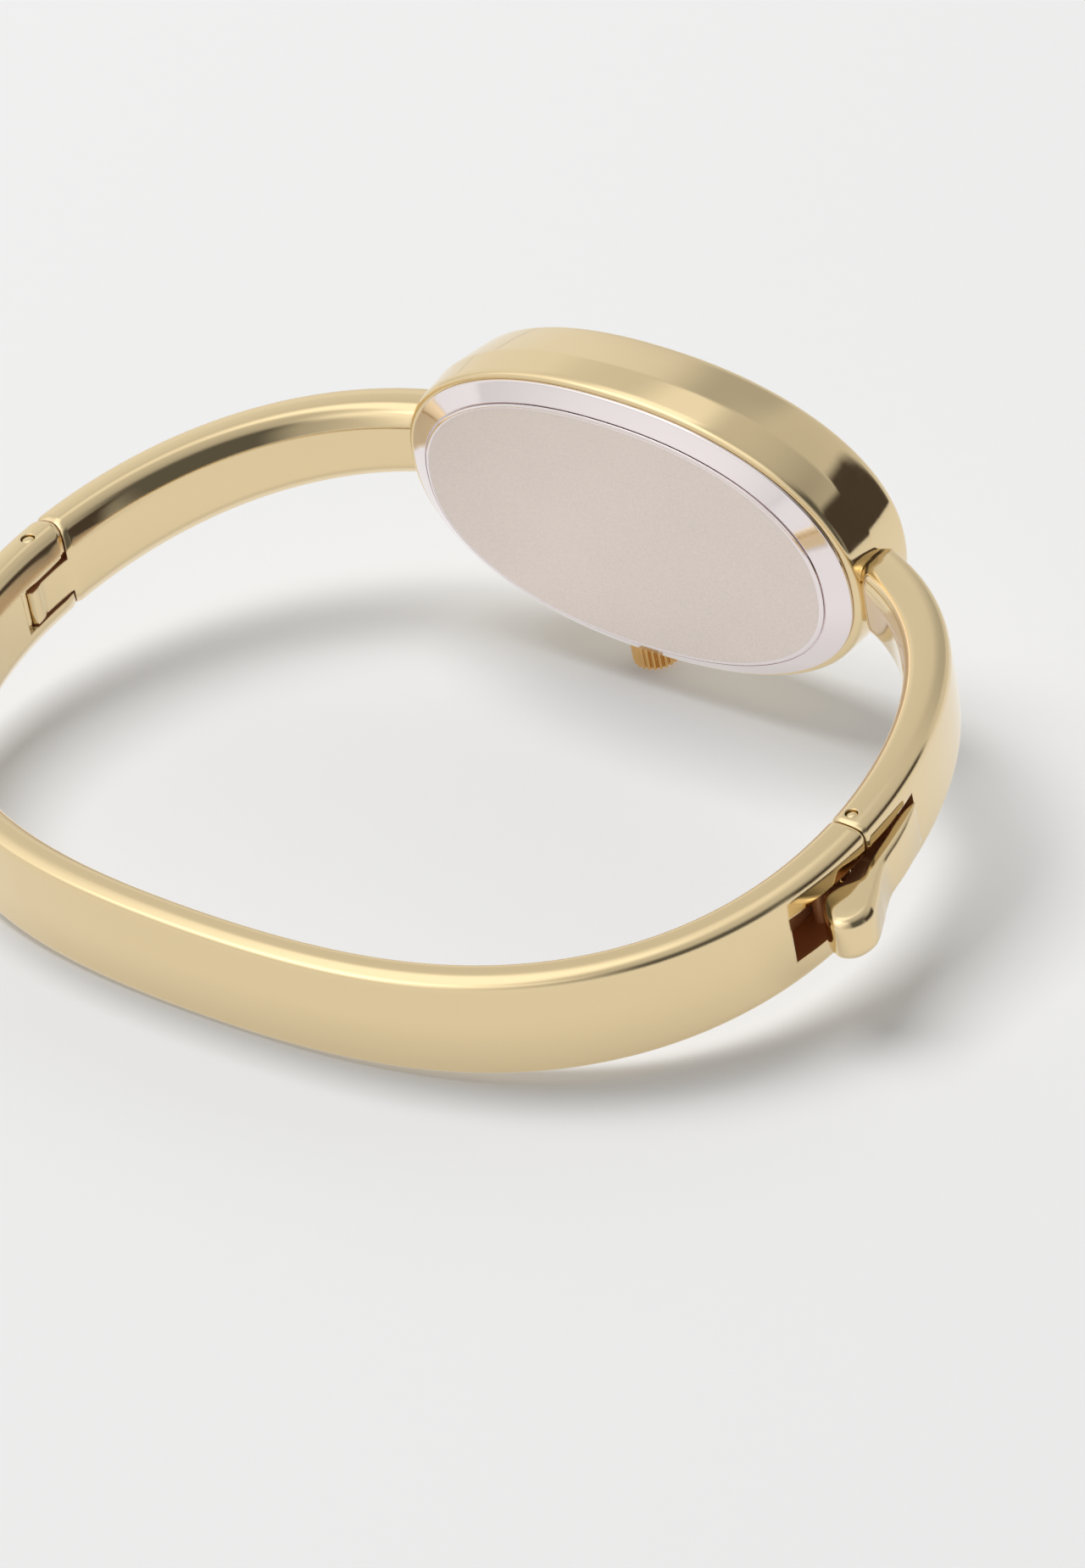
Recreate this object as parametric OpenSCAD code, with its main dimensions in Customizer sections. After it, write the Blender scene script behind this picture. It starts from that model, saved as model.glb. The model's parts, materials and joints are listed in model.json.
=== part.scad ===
// Bangle watch with an oval case, lying on its side as in the photograph.
// It rests on its crown and on the lower edge of the front band.
// The watch is drawn in its own frame: X along the case, Y out of the dial, Z along
// the ring's axis, with the crown pointing to -Z. The module at_rest() tips it over.

/* [Ring] */
// Half the width of the ring, measured to the band's centre line
ring_half_w = 30.44; // [27:0.01:34]
// Half the depth of the ring, measured to the band's centre line
ring_half_d = 23.38; // [21:0.01:26]
// How far the ring's corners stand out, negative for rounder corners
ring_corner = -0.82; // [-1.2:0.01:0]
// How far the whole ring is pushed towards the dial
ring_lift = 0.745; // [0:0.005:1.2]
// Three-sided shaping of the ring
ring_taper = -0.25; // [-0.5:0.01:0.5]
// Five-sided shaping, which straightens the ring beside the case
ring_waist = -0.325; // [-0.5:0.005:0]
// How far the ring is pushed sideways, towards the clasp
ring_shift = -0.7; // [-1:0.01:1]
// Slant of the ring, from hand bending
ring_skew = -0.41; // [-0.6:0.01:0.6]

/* [Band] */
// Width of the band at the front
band_w_front = 7.02; // [6:0.01:9]
// Width of the band at the hinge and the clasp
band_w_side = 6.43; // [5.8:0.01:8]
// Width of the arms where they meet the case
band_w_case = 4.56; // [3.5:0.01:5.6]
// Thickness of the band at the front
band_t_front = 2.39; // [2:0.01:3.2]
// Thickness of the arms where they meet the case
band_t_case = 3.33; // [2.8:0.01:4]
// Flat inner face as a share of the width
inner_share = 0.6; // [0.5:0.01:0.8]
// Outer face as a share of the width
outer_share = 0.92; // [0.85:0.01:0.96]
// Depth of the widest line as a share of the thickness, from the inner face
belly_share = 0.24; // [0.15:0.01:0.4]
// How much wider the inner bevel is on the hinge side, as a share of the thickness
belly_left = 0.18; // [0:0.01:0.25]

/* [Hinge] */
// Angle round the ring where the hinge pin stands
hinge_angle = 273; // [268:0.5:278]
// Radius of the hinge pin
hinge_pin_r = 0.4; // [0.3:0.01:0.5]
// Radius of the rounded knuckle on the front band
knuckle_r = 2; // [1.9:0.05:2.8]
// Width of the arm's tongue between the band's two cheeks
tongue_w = 3; // [2.8:0.05:3.6]
// How far the tongue sits above the middle of the band
tongue_up = 0.2; // [0:0.01:0.3]
// Radius of the tongue's rounded end
tongue_r = 3.3; // [2.4:0.05:3.5]
// Gap between moving faces of the hinge
hinge_gap = 0.08; // [0.05:0.01:0.12]

/* [Clasp] */
// Angle round the ring where the latch pin stands
clasp_angle = 88.1; // [86:0.1:92]
// How far the latch pin stands outside the band's centre line, negative for inside
clasp_out = -0.1; // [-0.15:0.01:0.15]
// Radius of the latch pin
latch_pin_r = 0.4; // [0.3:0.01:0.45]
// Distance from the latch pin to the end of the right arm
arm_end = 0.85; // [0.7:0.01:1.1]
// Gap between the arm and the front band
seam_gap = 0.1; // [0.05:0.01:0.2]
// Width of the latch lever
lever_w = 2.9; // [2.2:0.05:3]
// Width of the slot that the lever lies in
slot_w = 3.2; // [3.1:0.05:3.6]
// Slot length from the pin towards the case
slot_up = 4.5; // [4.4:0.05:5.2]
// Slot length from the pin into the front band
slot_down = 8; // [7.6:0.05:9]
// Thickness of the floor under the slot
slot_floor = 0.4; // [0.35:0.01:0.5]
// Radius of the catch bar across the slot
catch_r = 0.4; // [0.3:0.01:0.45]
// Distance of the catch bar from the latch pin
catch_y = 4.2; // [3.8:0.05:4.6]
// Radius of the rounded thumb tab
tab_r = 1.5; // [1.2:0.05:1.7]

/* [Case] */
// Half length of the case
case_a = 16.62; // [16:0.01:19]
// Half width of the case
case_b = 10.07; // [9.6:0.01:12]
// Roundness of the oval outline, 2 for an ellipse
case_n = 2.19; // [2:0.01:2.6]
// Depth of the case from its back edge to its bezel
case_depth = 5.73; // [5.6:0.01:6.4]
// Distance of the case's back edge inside the ring's centre line
case_sink = 2.88; // [2.4:0.01:3.4]
// How far the case sits towards the ring's upper side
case_rise = 0.59; // [0:0.01:1]
// How much narrower the case is at its bezel
bezel_inset = 0.38; // [0.2:0.01:0.6]
// Width of the bevel on the bezel
bezel_bevel = 0.4; // [0.2:0.01:0.6]
// How far the ridge along the case's side stands out
side_ridge = 0.12; // [0:0.01:0.3]
// Height of that ridge over the back edge, as a share of the depth
ridge_share = 0.37; // [0.33:0.01:0.5]
// Radius of the rounded gold edge round the back
edge_r = 0.38; // [0.3:0.01:0.45]

/* [Case back] */
// Width of the gold rim that the edge of the steel back lies on
back_rim = 0.95; // [0.8:0.01:1.1]
// Thickness of the back inside the case
back_t = 0.75; // [0.6:0.01:0.8]
// How far the raised plate of the back stands out of the case
back_proud = 1.3; // [1:0.01:1.5]
// Distance of the back's edge inside the case's outline
back_edge = 0.42; // [0.3:0.01:0.6]
// How far the back's edge stands out of the case
back_edge_h = 0.47; // [0.4:0.01:0.6]
// Width of the polished bevel between that edge and the raised plate
back_bevel = 1.08; // [0.8:0.01:1.4]
// How much wider that bevel is at the two ends
back_ends = 0.4; // [0:0.01:0.6]
// Thickness of the back's seal
back_seal_t = 0.3; // [0.2:0.01:0.35]
// Width of the back's seal
back_seal_w = 0.8; // [0.5:0.01:1]

/* [Crystal and dial] */
// Width of the bezel's flat top
bezel_flat = 2.6; // [2.2:0.01:2.9]
// Width of the seal round the crystal
crystal_seal_w = 0.35; // [0.25:0.01:0.5]
// Thickness of the crystal at its edge
crystal_t = 0.85; // [0.75:0.01:1]
// Extra height of the crystal's domed middle
crystal_dome = 0.35; // [0.1:0.01:0.6]
// Width of the ledge that the crystal sits on
crystal_ledge = 1; // [0.7:0.01:1.2]
// Thickness of the dial
dial_t = 0.4; // [0.3:0.01:0.45]
// Room between the dial and the crystal's ledge
hand_room = 0.95; // [0.9:0.01:1.1]
// Length of the hour markers
marker_l = 1.1; // [0.7:0.05:1.3]

/* [Crown] */
// How far the crown stands off the case's middle, along the case
crown_x = -1.7; // [-2.4:0.05:-1.5]
// Height of the crown's axis above the case's back edge
crown_h = 1.75; // [1.7:0.01:1.8]
// Radius of the crown
crown_r = 1.5; // [1.2:0.01:1.6]
// Length of the crown
crown_l = 1.82; // [1.6:0.01:2.2]
// Gap between the crown and the case
crown_gap = 0.27; // [0.24:0.01:0.4]
// How many flutes the crown has
crown_flutes = 24; // [18:1:30]
// How far the crown pulls out to set the hands
crown_pull = 0.9; // [0.6:0.05:1]
// Outer radius of the crown tube
tube_r = 0.65; // [0.6:0.01:0.65]
// Radius of the stem
stem_r = 0.35; // [0.3:0.01:0.38]

/* [Movement] */
// Radius of the round movement plate
plate_r = 7.65; // [7.6:0.01:7.7]
// Half width of the plate between its flats
plate_half = 6.5; // [6.45:0.01:6.6]
// Thickness of the movement plate
plate_t = 0.6; // [0.5:0.01:0.6]
// Radius of the battery
battery_r = 2.9; // [2.7:0.01:2.9]
// Height of the battery
battery_t = 1.6; // [1.4:0.01:1.65]
// Tooth size of the hands' wheels
motion_m = 0.12; // [0.115:0.001:0.125]
// Tooth size of the fast train wheels
train_m = 0.08; // [0.075:0.001:0.082]
// Tooth size of the slow train wheels
slow_m = 0.1; // [0.098:0.001:0.102]
// Length of the minute hand
minute_l = 5.7; // [5:0.05:5.9]
// Length of the hour hand
hour_l = 4; // [3.4:0.05:4.4]

/* [Hidden] */
$fn = 48;
gold = "#d6c093";
deep_gold = "#b9924c";
steel = "#d9cdc6";
brass = "#c9a552";
far = 60;
fit = 0.03;

// The ring's centre line as a sum of waves round the circle
ring_mean = (ring_half_w + ring_half_d) / 2 - ring_corner;
ring_oval = (ring_half_d - ring_half_w) / 2;
function ring_r(p) = ring_mean + ring_lift * cos(p) + ring_oval * cos(2 * p)
    + ring_taper * cos(3 * p) + ring_corner * cos(4 * p) + ring_waist * cos(5 * p)
    + ring_shift * sin(p) + ring_skew * sin(2 * p);
function ring_slope(p) = -ring_lift * sin(p) - 2 * ring_oval * sin(2 * p)
    - 3 * ring_taper * sin(3 * p) - 4 * ring_corner * sin(4 * p)
    - 5 * ring_waist * sin(5 * p) + ring_shift * cos(p) + 2 * ring_skew * cos(2 * p);
function ring_at(p) = ring_r(p) * [sin(p), cos(p)];
function ring_out(p) = let (
        t = ring_slope(p) * [sin(p), cos(p)] + ring_r(p) * [cos(p), -sin(p)]
    ) [-t.y, t.x] / norm(t);
function band_w(p) = let (
        ends = (band_w_front + band_w_case) / 2
    ) (band_w_side + ends) / 2 - (band_w_front - band_w_case) / 2 * cos(p)
    + (ends - band_w_side) / 2 * cos(2 * p);
function band_t(p) = (band_t_case + band_t_front) / 2
    + (band_t_case - band_t_front) / 2 * cos(p);

// The band's section: distance out of the centre line and height, upper half first
function half_section(p) = let (
        t = band_t(p),
        h = band_w(p) / 2,
        b = belly_share + belly_left * pow((1 - sin(p)) / 2, 2)
    ) [
        [-t / 2, h * inner_share],
        [-t / 2 + b * t * 0.45, h * (inner_share + (1 - inner_share) * 0.75)],
        [-t / 2 + b * t, h],
        [-t / 2 + t * (b + (1 - b) * 0.65), h * (outer_share + (1 - outer_share) * 0.8)],
        [t / 2 - t * 0.06, h * (outer_share + (1 - outer_share) * 0.25)],
        [t / 2, h * outer_share - t * 0.06]
    ];
function section(p) = let (u = half_section(p)) concat(
        u,
        [for (i = [len(u) - 1:-1:0]) [u[i][0], -u[i][1]]]
    );
function section_at(p) = let (c = ring_at(p), n = ring_out(p)) [
        for (s = section(p)) [c.x + n.x * s[0], c.y + n.y * s[0], s[1]]
    ];
module sweep(from, to, step) {
    count = ceil(abs(to - from) / step);
    rings = [for (i = [0:count]) section_at(from + (to - from) * i / count)];
    m = len(rings[0]);
    polyhedron(
        points = [for (r = rings, q = r) q],
        faces = concat(
            [[for (k = [m - 1:-1:0]) k]],
            [for (i = [0:count - 1], k = [0:m - 1])
                [i * m + k, i * m + (k + 1) % m, (i + 1) * m + (k + 1) % m]],
            [for (i = [0:count - 1], k = [0:m - 1])
                [i * m + k, (i + 1) * m + (k + 1) % m, (i + 1) * m + k]],
            [[for (k = [0:m - 1]) count * m + k]]
        ),
        convexity = 6
    );
}

// Ovals of the case
function oval(a, b, count = 72) = [
        for (i = [0:count - 1]) let (q = 360 * i / count) [
            a * sign(cos(q)) * pow(abs(cos(q)), 2 / case_n),
            b * sign(sin(q)) * pow(abs(sin(q)), 2 / case_n)
        ]
    ];
module oval_plate(inset, from, to) {
    translate([0, 0, from])
        linear_extrude(to - from)
            polygon(oval(case_a - inset, case_b - inset));
}
module oval_ring(outer, inner, from, to) {
    translate([0, 0, from])
        linear_extrude(to - from)
            difference() {
                polygon(oval(case_a - outer, case_b - outer));
                polygon(oval(case_a - inner, case_b - inner));
            }
}
// A loft of ovals: each level is a height, an inset and a further inset at the ends
module oval_loft(levels) {
    m = 72;
    top = len(levels) - 1;
    polyhedron(
        points = [for (v = levels, q = oval(case_a - v[1] - v[2], case_b - v[1]))
            [q.x, q.y, v[0]]],
        faces = concat(
            [[for (k = [m - 1:-1:0]) k]],
            [for (i = [0:top - 1], k = [0:m - 1])
                [i * m + k, i * m + (k + 1) % m, (i + 1) * m + (k + 1) % m]],
            [for (i = [0:top - 1], k = [0:m - 1])
                [i * m + k, (i + 1) * m + (k + 1) % m, (i + 1) * m + k]],
            [[for (k = [0:m - 1]) top * m + k]]
        ),
        convexity = 4
    );
}

// Heights in the case, from its back edge towards the dial
seal_floor = back_t + back_seal_t;
cavity_inset = back_rim + back_seal_w + 0.67;
holder_from = seal_floor + 0.02;
dial_from = case_depth - 0.73 - hand_room - dial_t;
// The movement's heights fill the room between the back and the dial
squash = (dial_from - back_t) / 2.9;
function level(z) = back_t + (z - 0.75) * squash;
plate_from = level(2.2);
plate_to = plate_from + plate_t;
wheel_step = (dial_from - plate_to) / 0.85;
unit = plate_r / 7.65;
dial_to = dial_from + dial_t;
ledge_to = dial_to + hand_room;
crystal_inset = bezel_inset + bezel_bevel + bezel_flat;
glass_inset = crystal_inset + crystal_seal_w;
ledge_inset = glass_inset + crystal_ledge - crystal_seal_w;
case_y = ring_at(0).y - case_sink;
crown_from = case_b + side_ridge * 0.7 + crown_gap - 0.11;
crown_to = crown_from + crown_l;
clutch_from = 5.1 - crown_pull;
stem_from = clutch_from - 0.2;

// Clasp and hinge places
hinge_at = ring_at(hinge_angle) + ring_out(hinge_angle) * 0.24;
tongue_span = (tongue_r + 0.5) * 57.3 / ring_half_w;
clasp_at = ring_at(clasp_angle) + ring_out(clasp_angle) * clasp_out;
clasp_in = band_t(clasp_angle) / 2 + clasp_out;

// The resting pose, found from the crown's rim and the band's lower edge
function drop(p, a) = p.y * sin(a) + p.z * cos(a);
band_low = [for (p = [150:3:210], q = section_at(p)) if (q.z < 0) q];
crown_low = [
    [0, case_y + crown_h - crown_r + 0.2, case_rise - crown_to],
    [0, case_y + crown_h - crown_r, case_rise - crown_to + 0.2]
];
function lowest(points, a) = min([for (q = points) drop(q, a)]);
function rest_angle(lo, hi, n) = let (mid = (lo + hi) / 2) n == 0 ? mid
    : lowest(band_low, mid) > lowest(crown_low, mid) ? rest_angle(mid, hi, n - 1)
    : rest_angle(lo, mid, n - 1);
tip = rest_angle(0, 30, 40);
lift = -lowest(crown_low, tip);
all_band = [for (p = [0:2:358], q = section_at(p)) q];
lever_far = clasp_at.x + 3.15 * catch_y / 4.2 + tab_r;
x_mid = (min([for (q = all_band) q.x]) + max(lever_far, max([for (q = all_band) q.x]))) / 2;
function depth_of(p) = p.y * cos(tip) - p.z * sin(tip);
glass_top = case_y + ledge_to + crystal_t;
bezel_low = [case_y + case_depth, case_rise - case_b + bezel_inset + bezel_bevel];
glass_low = [glass_top, case_rise - case_b + glass_inset];
y_max = max([for (q = [bezel_low, glass_low]) q[0] * cos(tip) - q[1] * sin(tip)]);
y_mid = (min([for (q = all_band) depth_of(q)]) + y_max) / 2;
echo(tip = tip, lift = lift, x_mid = x_mid, y_mid = y_mid, hinge_at = hinge_at,
    clasp_at = clasp_at, case_y = case_y, crown_to = crown_to, crown_from = crown_from);

module at_rest() {
    translate([-x_mid, -y_mid, lift])
        rotate([tip, 0, 0])
            children();
}
// The case's own frame: height above its back edge is Z, and the crown is at +Y
module in_case() {
    at_rest()
        translate([0, case_y, case_rise])
            rotate([-90, 0, 0])
                children();
}

// Small helpers
module disc(r, from, to, at = [0, 0]) {
    translate([at.x, at.y, from])
        cylinder(r = r, h = to - from);
}
module tube(r_out, r_in, from, to, at = [0, 0]) {
    difference() {
        disc(r_out, from, to, at);
        disc(r_in, from - 0.1, to + 0.1, at);
    }
}
module gear(m, teeth, bore, from, to, turn = 0) {
    root = m * (teeth / 2 - 1.15);
    crest = m * (teeth / 2 + 0.85);
    pitch = 360 / teeth;
    translate([0, 0, from])
        linear_extrude(to - from)
            difference() {
                polygon([
                    for (i = [0:teeth - 1], q = [[-0.3, root], [-0.2, m * teeth / 2],
                        [-0.1, crest], [0.1, crest], [0.2, m * teeth / 2], [0.3, root]])
                        q[1] * [cos((i + q[0]) * pitch + turn), sin((i + q[0]) * pitch + turn)]
                ]);
                circle(r = bore);
            }
}

// Case
module case_shell() {
    side = bezel_inset;
    oval_loft([
        [-edge_r * 0.66, edge_r * 0.95, 0],
        [-edge_r * 0.32, edge_r * 0.26, 0],
        [edge_r * 0.4, 0, 0],
        [case_depth * ridge_share, -side_ridge, 0],
        [case_depth - bezel_bevel, side, 0],
        [case_depth, side + bezel_bevel, 0]
    ]);
}
module case_middle() {
    color(gold)
        in_case()
            difference() {
                case_shell();
                oval_plate(back_rim, -1, seal_floor);
                oval_plate(cavity_inset, 0, dial_to);
                oval_plate(ledge_inset, 0, far);
                oval_plate(crystal_inset, ledge_to, far);
                translate([crown_x, case_b - 5, crown_h])
                    rotate([-90, 0, 0])
                        cylinder(r = tube_r, h = 10);
            }
}
module case_back() {
    color(steel)
        in_case()
            oval_loft([
                [-back_proud, back_edge + back_bevel + 0.12, back_ends * 1.45],
                [0.1 - back_proud, back_edge + back_bevel, back_ends * 1.42],
                [-back_edge_h, back_edge, back_ends * 0.42],
                [0.05 - back_edge_h, back_edge - 0.04, back_ends * 0.42],
                [-edge_r * 0.66 - fit, back_edge - 0.04, back_ends * 0.42],
                [-edge_r * 0.66 - fit, back_rim + fit, 0],
                [back_t, back_rim + fit, 0]
            ]);
}
module case_back_seal() {
    color("#2b2b2b")
        in_case()
            oval_ring(back_rim + 0.2, back_rim + 0.2 + back_seal_w, back_t, seal_floor);
}
module crystal() {
    color("#dfe8ea")
        in_case()
            oval_loft([
                [ledge_to, glass_inset, 0],
                [ledge_to + crystal_t - 0.15, glass_inset, 0],
                [ledge_to + crystal_t, glass_inset + 0.15, 0],
                [ledge_to + crystal_t + crystal_dome * 0.6, glass_inset + 2, 0],
                [ledge_to + crystal_t + crystal_dome * 0.9, glass_inset + 4, 0],
                [ledge_to + crystal_t + crystal_dome, glass_inset + 5.4, 0]
            ]);
}
module crystal_seal() {
    color("#e8e6df")
        in_case()
            oval_ring(crystal_inset, glass_inset, ledge_to, case_depth - 0.05);
}

// Dial and hands
module dial() {
    color("#f1ead9")
        in_case()
            difference() {
                oval_plate(cavity_inset + 0.05, dial_from, dial_to);
                disc(0.9, dial_from - 1, dial_to + 1);
            }
}
function marker_reach(q) = let (
        a = case_a - ledge_inset - 0.5,
        b = case_b - ledge_inset - 0.5
    ) 1 / pow(pow(abs(cos(q)) / a, case_n) + pow(abs(sin(q)) / b, case_n), 1 / case_n);
module hour_markers() {
    color(deep_gold)
        in_case()
            for (h = [0:11])
                let (q = 180 - 30 * h, w = h % 3 == 0 ? 0.42 : 0.26)
                    rotate(q)
                        translate([marker_reach(q) - marker_l, -w / 2, dial_to])
                            cube([marker_l, w, 0.14]);
}
module hand(length, w, hub, bore, from, to) {
    translate([0, 0, from])
        linear_extrude(to - from)
            difference() {
                union() {
                    circle(r = hub);
                    polygon([[-1.3, -w * 0.35], [0, -w / 2], [length * 0.55, -w * 0.42],
                        [length, -0.04], [length, 0.04], [length * 0.55, w * 0.42],
                        [0, w / 2], [-1.3, w * 0.35]]);
                }
                circle(r = bore);
            }
}
hour_turn = 180 - 304;
minute_turn = 180 - 48;
pipe_r = 0.45;
hour_pipe_r = 0.75;
module hour_hand() {
    color(deep_gold)
        in_case()
            rotate(hour_turn)
                hand(hour_l, 0.62, 1, hour_pipe_r, dial_to + 0.3, dial_to + 0.44);
}
module minute_hand() {
    color(deep_gold)
        in_case()
            rotate(minute_turn)
                hand(minute_l, 0.5, 0.72, pipe_r, dial_to + 0.62, dial_to + 0.76);
}

// Wheels under the dial
motion_gap = motion_m * 20;
minute_at = motion_gap * [cos(127), sin(127)];
wheel_from = plate_to + 0.1 * wheel_step;
function wheel_at(z) = wheel_from + z * wheel_step;
module cannon_pinion() {
    color(brass)
        in_case()
            difference() {
                union() {
                    gear(motion_m, 10, 0.25, wheel_at(-0.02), wheel_at(0.24));
                    tube(pipe_r, 0.25, wheel_at(0.1), dial_to + 0.76);
                }
                disc(0.25, 0, 9);
            }
}
module minute_wheel() {
    color(brass)
        in_case()
            translate([minute_at.x, minute_at.y, 0]) {
                gear(motion_m, 30, 0.23, wheel_from, wheel_at(0.18), 127 - 180 + 6);
                gear(motion_m, 8, 0.23, wheel_at(0.18), wheel_at(0.55), 127 - 180);
            }
}
module hour_wheel() {
    color(brass)
        in_case()
            difference() {
                union() {
                    gear(motion_m, 32, 0.5, wheel_at(0.34), wheel_at(0.5), 127 + 360 / 64);
                    tube(hour_pipe_r, 0.5, wheel_at(0.4), dial_to + 0.44);
                }
                disc(0.5, 0, 9);
            }
}
module centre_tube() {
    color("#b8b8b4")
        in_case()
            disc(0.22, level(1.86), dial_to + 0.74);
}

// Movement plate and what it carries
battery_at = unit * [4, -1.4];
third_at = train_m * 20 * [cos(150), sin(150)];
inter_at = third_at + slow_m * 24 * [cos(215), sin(215)];
rotor_at = inter_at + train_m * 28 * [cos(95), sin(95)];
coil_x = unit * -6.05;
pillars = unit * [[0.75, 3.1], [-3.6, -3.5], [0.3, -3.3]];
module plate_outline(grow) {
    intersection() {
        circle(r = plate_r + grow);
        square([40, 2 * (plate_half + grow)], center = true);
    }
}
module main_plate() {
    color("#cfc4a0")
        in_case()
            difference() {
                union() {
                    translate([0, 0, plate_from])
                        linear_extrude(plate_t)
                            plate_outline(0);
                    for (q = pillars)
                        disc(0.45, level(1.25), plate_from + 0.1, q);
                    disc(0.2, plate_to - 0.1, wheel_at(0.55), minute_at);
                }
                disc(battery_r + 0.05, 0, 9, battery_at);
                disc(0.22, 0, 9);
                for (q = [third_at, inter_at, rotor_at])
                    disc(0.09, 0, plate_from + 0.3, q);
                for (q = pillars)
                    disc(0.18, 0, plate_from, q);
                translate([crown_x, stem_from - 0.2, crown_h])
                    rotate([-90, 0, 0])
                        cylinder(r = stem_r + 0.2, h = 9);
            }
}
module movement_holder() {
    color("#e9e7e0")
        in_case()
            difference() {
                oval_plate(cavity_inset + 0.05, holder_from, dial_from - 0.03);
                linear_extrude(plate_to + 0.02)
                    plate_outline(0.04);
                linear_extrude(9)
                    plate_outline(-0.9);
                translate([crown_x, 4, crown_h])
                    rotate([-90, 0, 0])
                        cylinder(r = 0.5, h = 10);
            }
}
module circuit_board() {
    color("#2f6b46")
        in_case()
            translate([0, 0, level(2.04)])
                linear_extrude(0.14 * squash)
                    difference() {
                        polygon(unit * [[-4.4, -6.1], [2.2, -6.1], [1.4, -4.75],
                            [-0.6, -3.9], [-2.6, -4.1], [-4.9, -4.7]]);
                        circle(r = 3 * unit);
                    }
}
module control_chip() {
    color("#1d1d1f")
        in_case()
            translate([-4 * unit, -5.6 * unit, level(1.5)])
                cube([1.3 * unit, 1.1 * unit, 0.54 * squash]);
}
module quartz_can() {
    color("#c8c8c6")
        in_case()
            translate([-2.2 * unit, -5.2 * unit, level(1.59)])
                rotate([0, 90, 0])
                    cylinder(r = 0.45 * squash, h = 3.6 * unit);
}
module coil() {
    color("#b4632d")
        in_case()
            difference() {
                translate([coil_x, -2.3 * unit, level(1.6)])
                    rotate([-90, 0, 0])
                        cylinder(r = 0.5 * squash, h = 4.6 * unit);
                translate([coil_x - 0.3, -3 * unit, level(1.5)])
                    cube([0.6, 9, 0.2 * squash]);
            }
}
module stator() {
    top = level(2.1) - level(1.87);
    end_y = 2.4 * unit;
    color("#9a9a98")
        in_case()
            difference() {
                union() {
                    translate([0, 0, level(1.87)])
                        linear_extrude(top) {
                            translate(rotor_at)
                                circle(r = 1.05);
                            polygon([rotor_at + [0.3, 0.9], rotor_at + [-0.9, -0.4],
                                [coil_x + 0.62, end_y], [coil_x - 0.4, end_y + 0.2],
                                [coil_x - 0.2, end_y + 1.2]]);
                            polygon([rotor_at + [-0.95, 0.4], rotor_at + [-0.2, -1],
                                [coil_x + 0.5, -end_y - 1.1], [coil_x - 0.4, -end_y - 0.9],
                                [coil_x - 0.3, -end_y - 0.2], [coil_x + 0.62, -end_y]]);
                        }
                    translate([coil_x - 0.28, -end_y - 0.85, level(1.51)])
                        cube([0.56, 2 * end_y + 1.6, 0.18 * squash]);
                    translate([coil_x - 0.28, -end_y - 0.85, level(1.6)])
                        cube([0.56, 0.7, 0.4 * squash]);
                    translate([coil_x - 0.28, end_y + 0.1, level(1.6)])
                        cube([0.56, 0.65, 0.4 * squash]);
                }
                disc(0.72, 1, 3, rotor_at);
            }
}
module rotor() {
    color("#6f6f70")
        in_case()
            translate([rotor_at.x, rotor_at.y, 0]) {
                disc(0.6, level(1.84), level(2.1));
                gear(train_m, 8, 0.02, level(1.3), level(1.7), 95 - 180);
                disc(0.08, level(1.05), level(2.45));
                disc(0.2, level(1.6), level(1.9));
            }
}
module intermediate_wheel() {
    color(brass)
        in_case()
            translate([inter_at.x, inter_at.y, 0]) {
                gear(train_m, 48, 0.05, level(1.4), level(1.52), 95 + 3.75);
                gear(slow_m, 8, 0.05, level(1.52), level(1.85), 35);
                disc(0.08, level(1.05), level(2.45));
            }
}
module third_wheel() {
    color(brass)
        in_case()
            translate([third_at.x, third_at.y, 0]) {
                gear(slow_m, 40, 0.05, level(1.62), level(1.74), 35 + 180 + 4.5);
                gear(train_m, 10, 0.05, level(1.74), level(2.1), 150 - 180);
                disc(0.08, level(1.05), level(2.45));
            }
}
module centre_wheel() {
    color(brass)
        in_case()
            gear(train_m, 30, 0.25, level(1.92), level(2.06), 150 + 6);
}
module train_bridge() {
    color("#cfc4a0")
        in_case()
            difference() {
                translate([0, 0, level(1.07)])
                    linear_extrude(0.18 * squash)
                        polygon(unit * [[1.25, 3.6], [0.2, 3.75], [-4.6, 2.9], [-4.9, 0],
                            [-4.3, -3.9], [-3, -4.1], [0.8, -3.9], [0.9, -1.5], [0.9, 1.5]]);
                for (q = [third_at, inter_at, rotor_at])
                    disc(0.09, 0, 9, q);
                for (q = pillars)
                    disc(0.18, 0, 9, q);
            }
}
module bridge_screws() {
    color("#b9b9bd")
        in_case()
            for (q = pillars)
                translate([q.x, q.y, 0])
                    difference() {
                        union() {
                            disc(0.38, level(0.87), level(1.07));
                            disc(0.17, level(1), level(2));
                        }
                        translate([-0.5, -0.06, level(0.8)])
                            cube([1, 0.12, 0.15 * squash]);
                    }
}
module battery() {
    color("#c9c9c7")
        in_case()
            translate([battery_at.x, battery_at.y, 0]) {
                disc(battery_r, level(1.08), level(1.08) + battery_t - 0.3);
                disc(battery_r - 0.45, level(1.1), level(1.08) + battery_t);
            }
}
module battery_strap() {
    color("#d0b56b")
        in_case()
            translate([0, 0, level(0.92)])
                linear_extrude(0.14 * squash)
                    polygon(unit * [[2.2, -5.6], [3.2, -5.9], [5, 0.6], [5.6, 3.4],
                        [4.4, 3.6], [3.6, 1]]);
}

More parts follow.
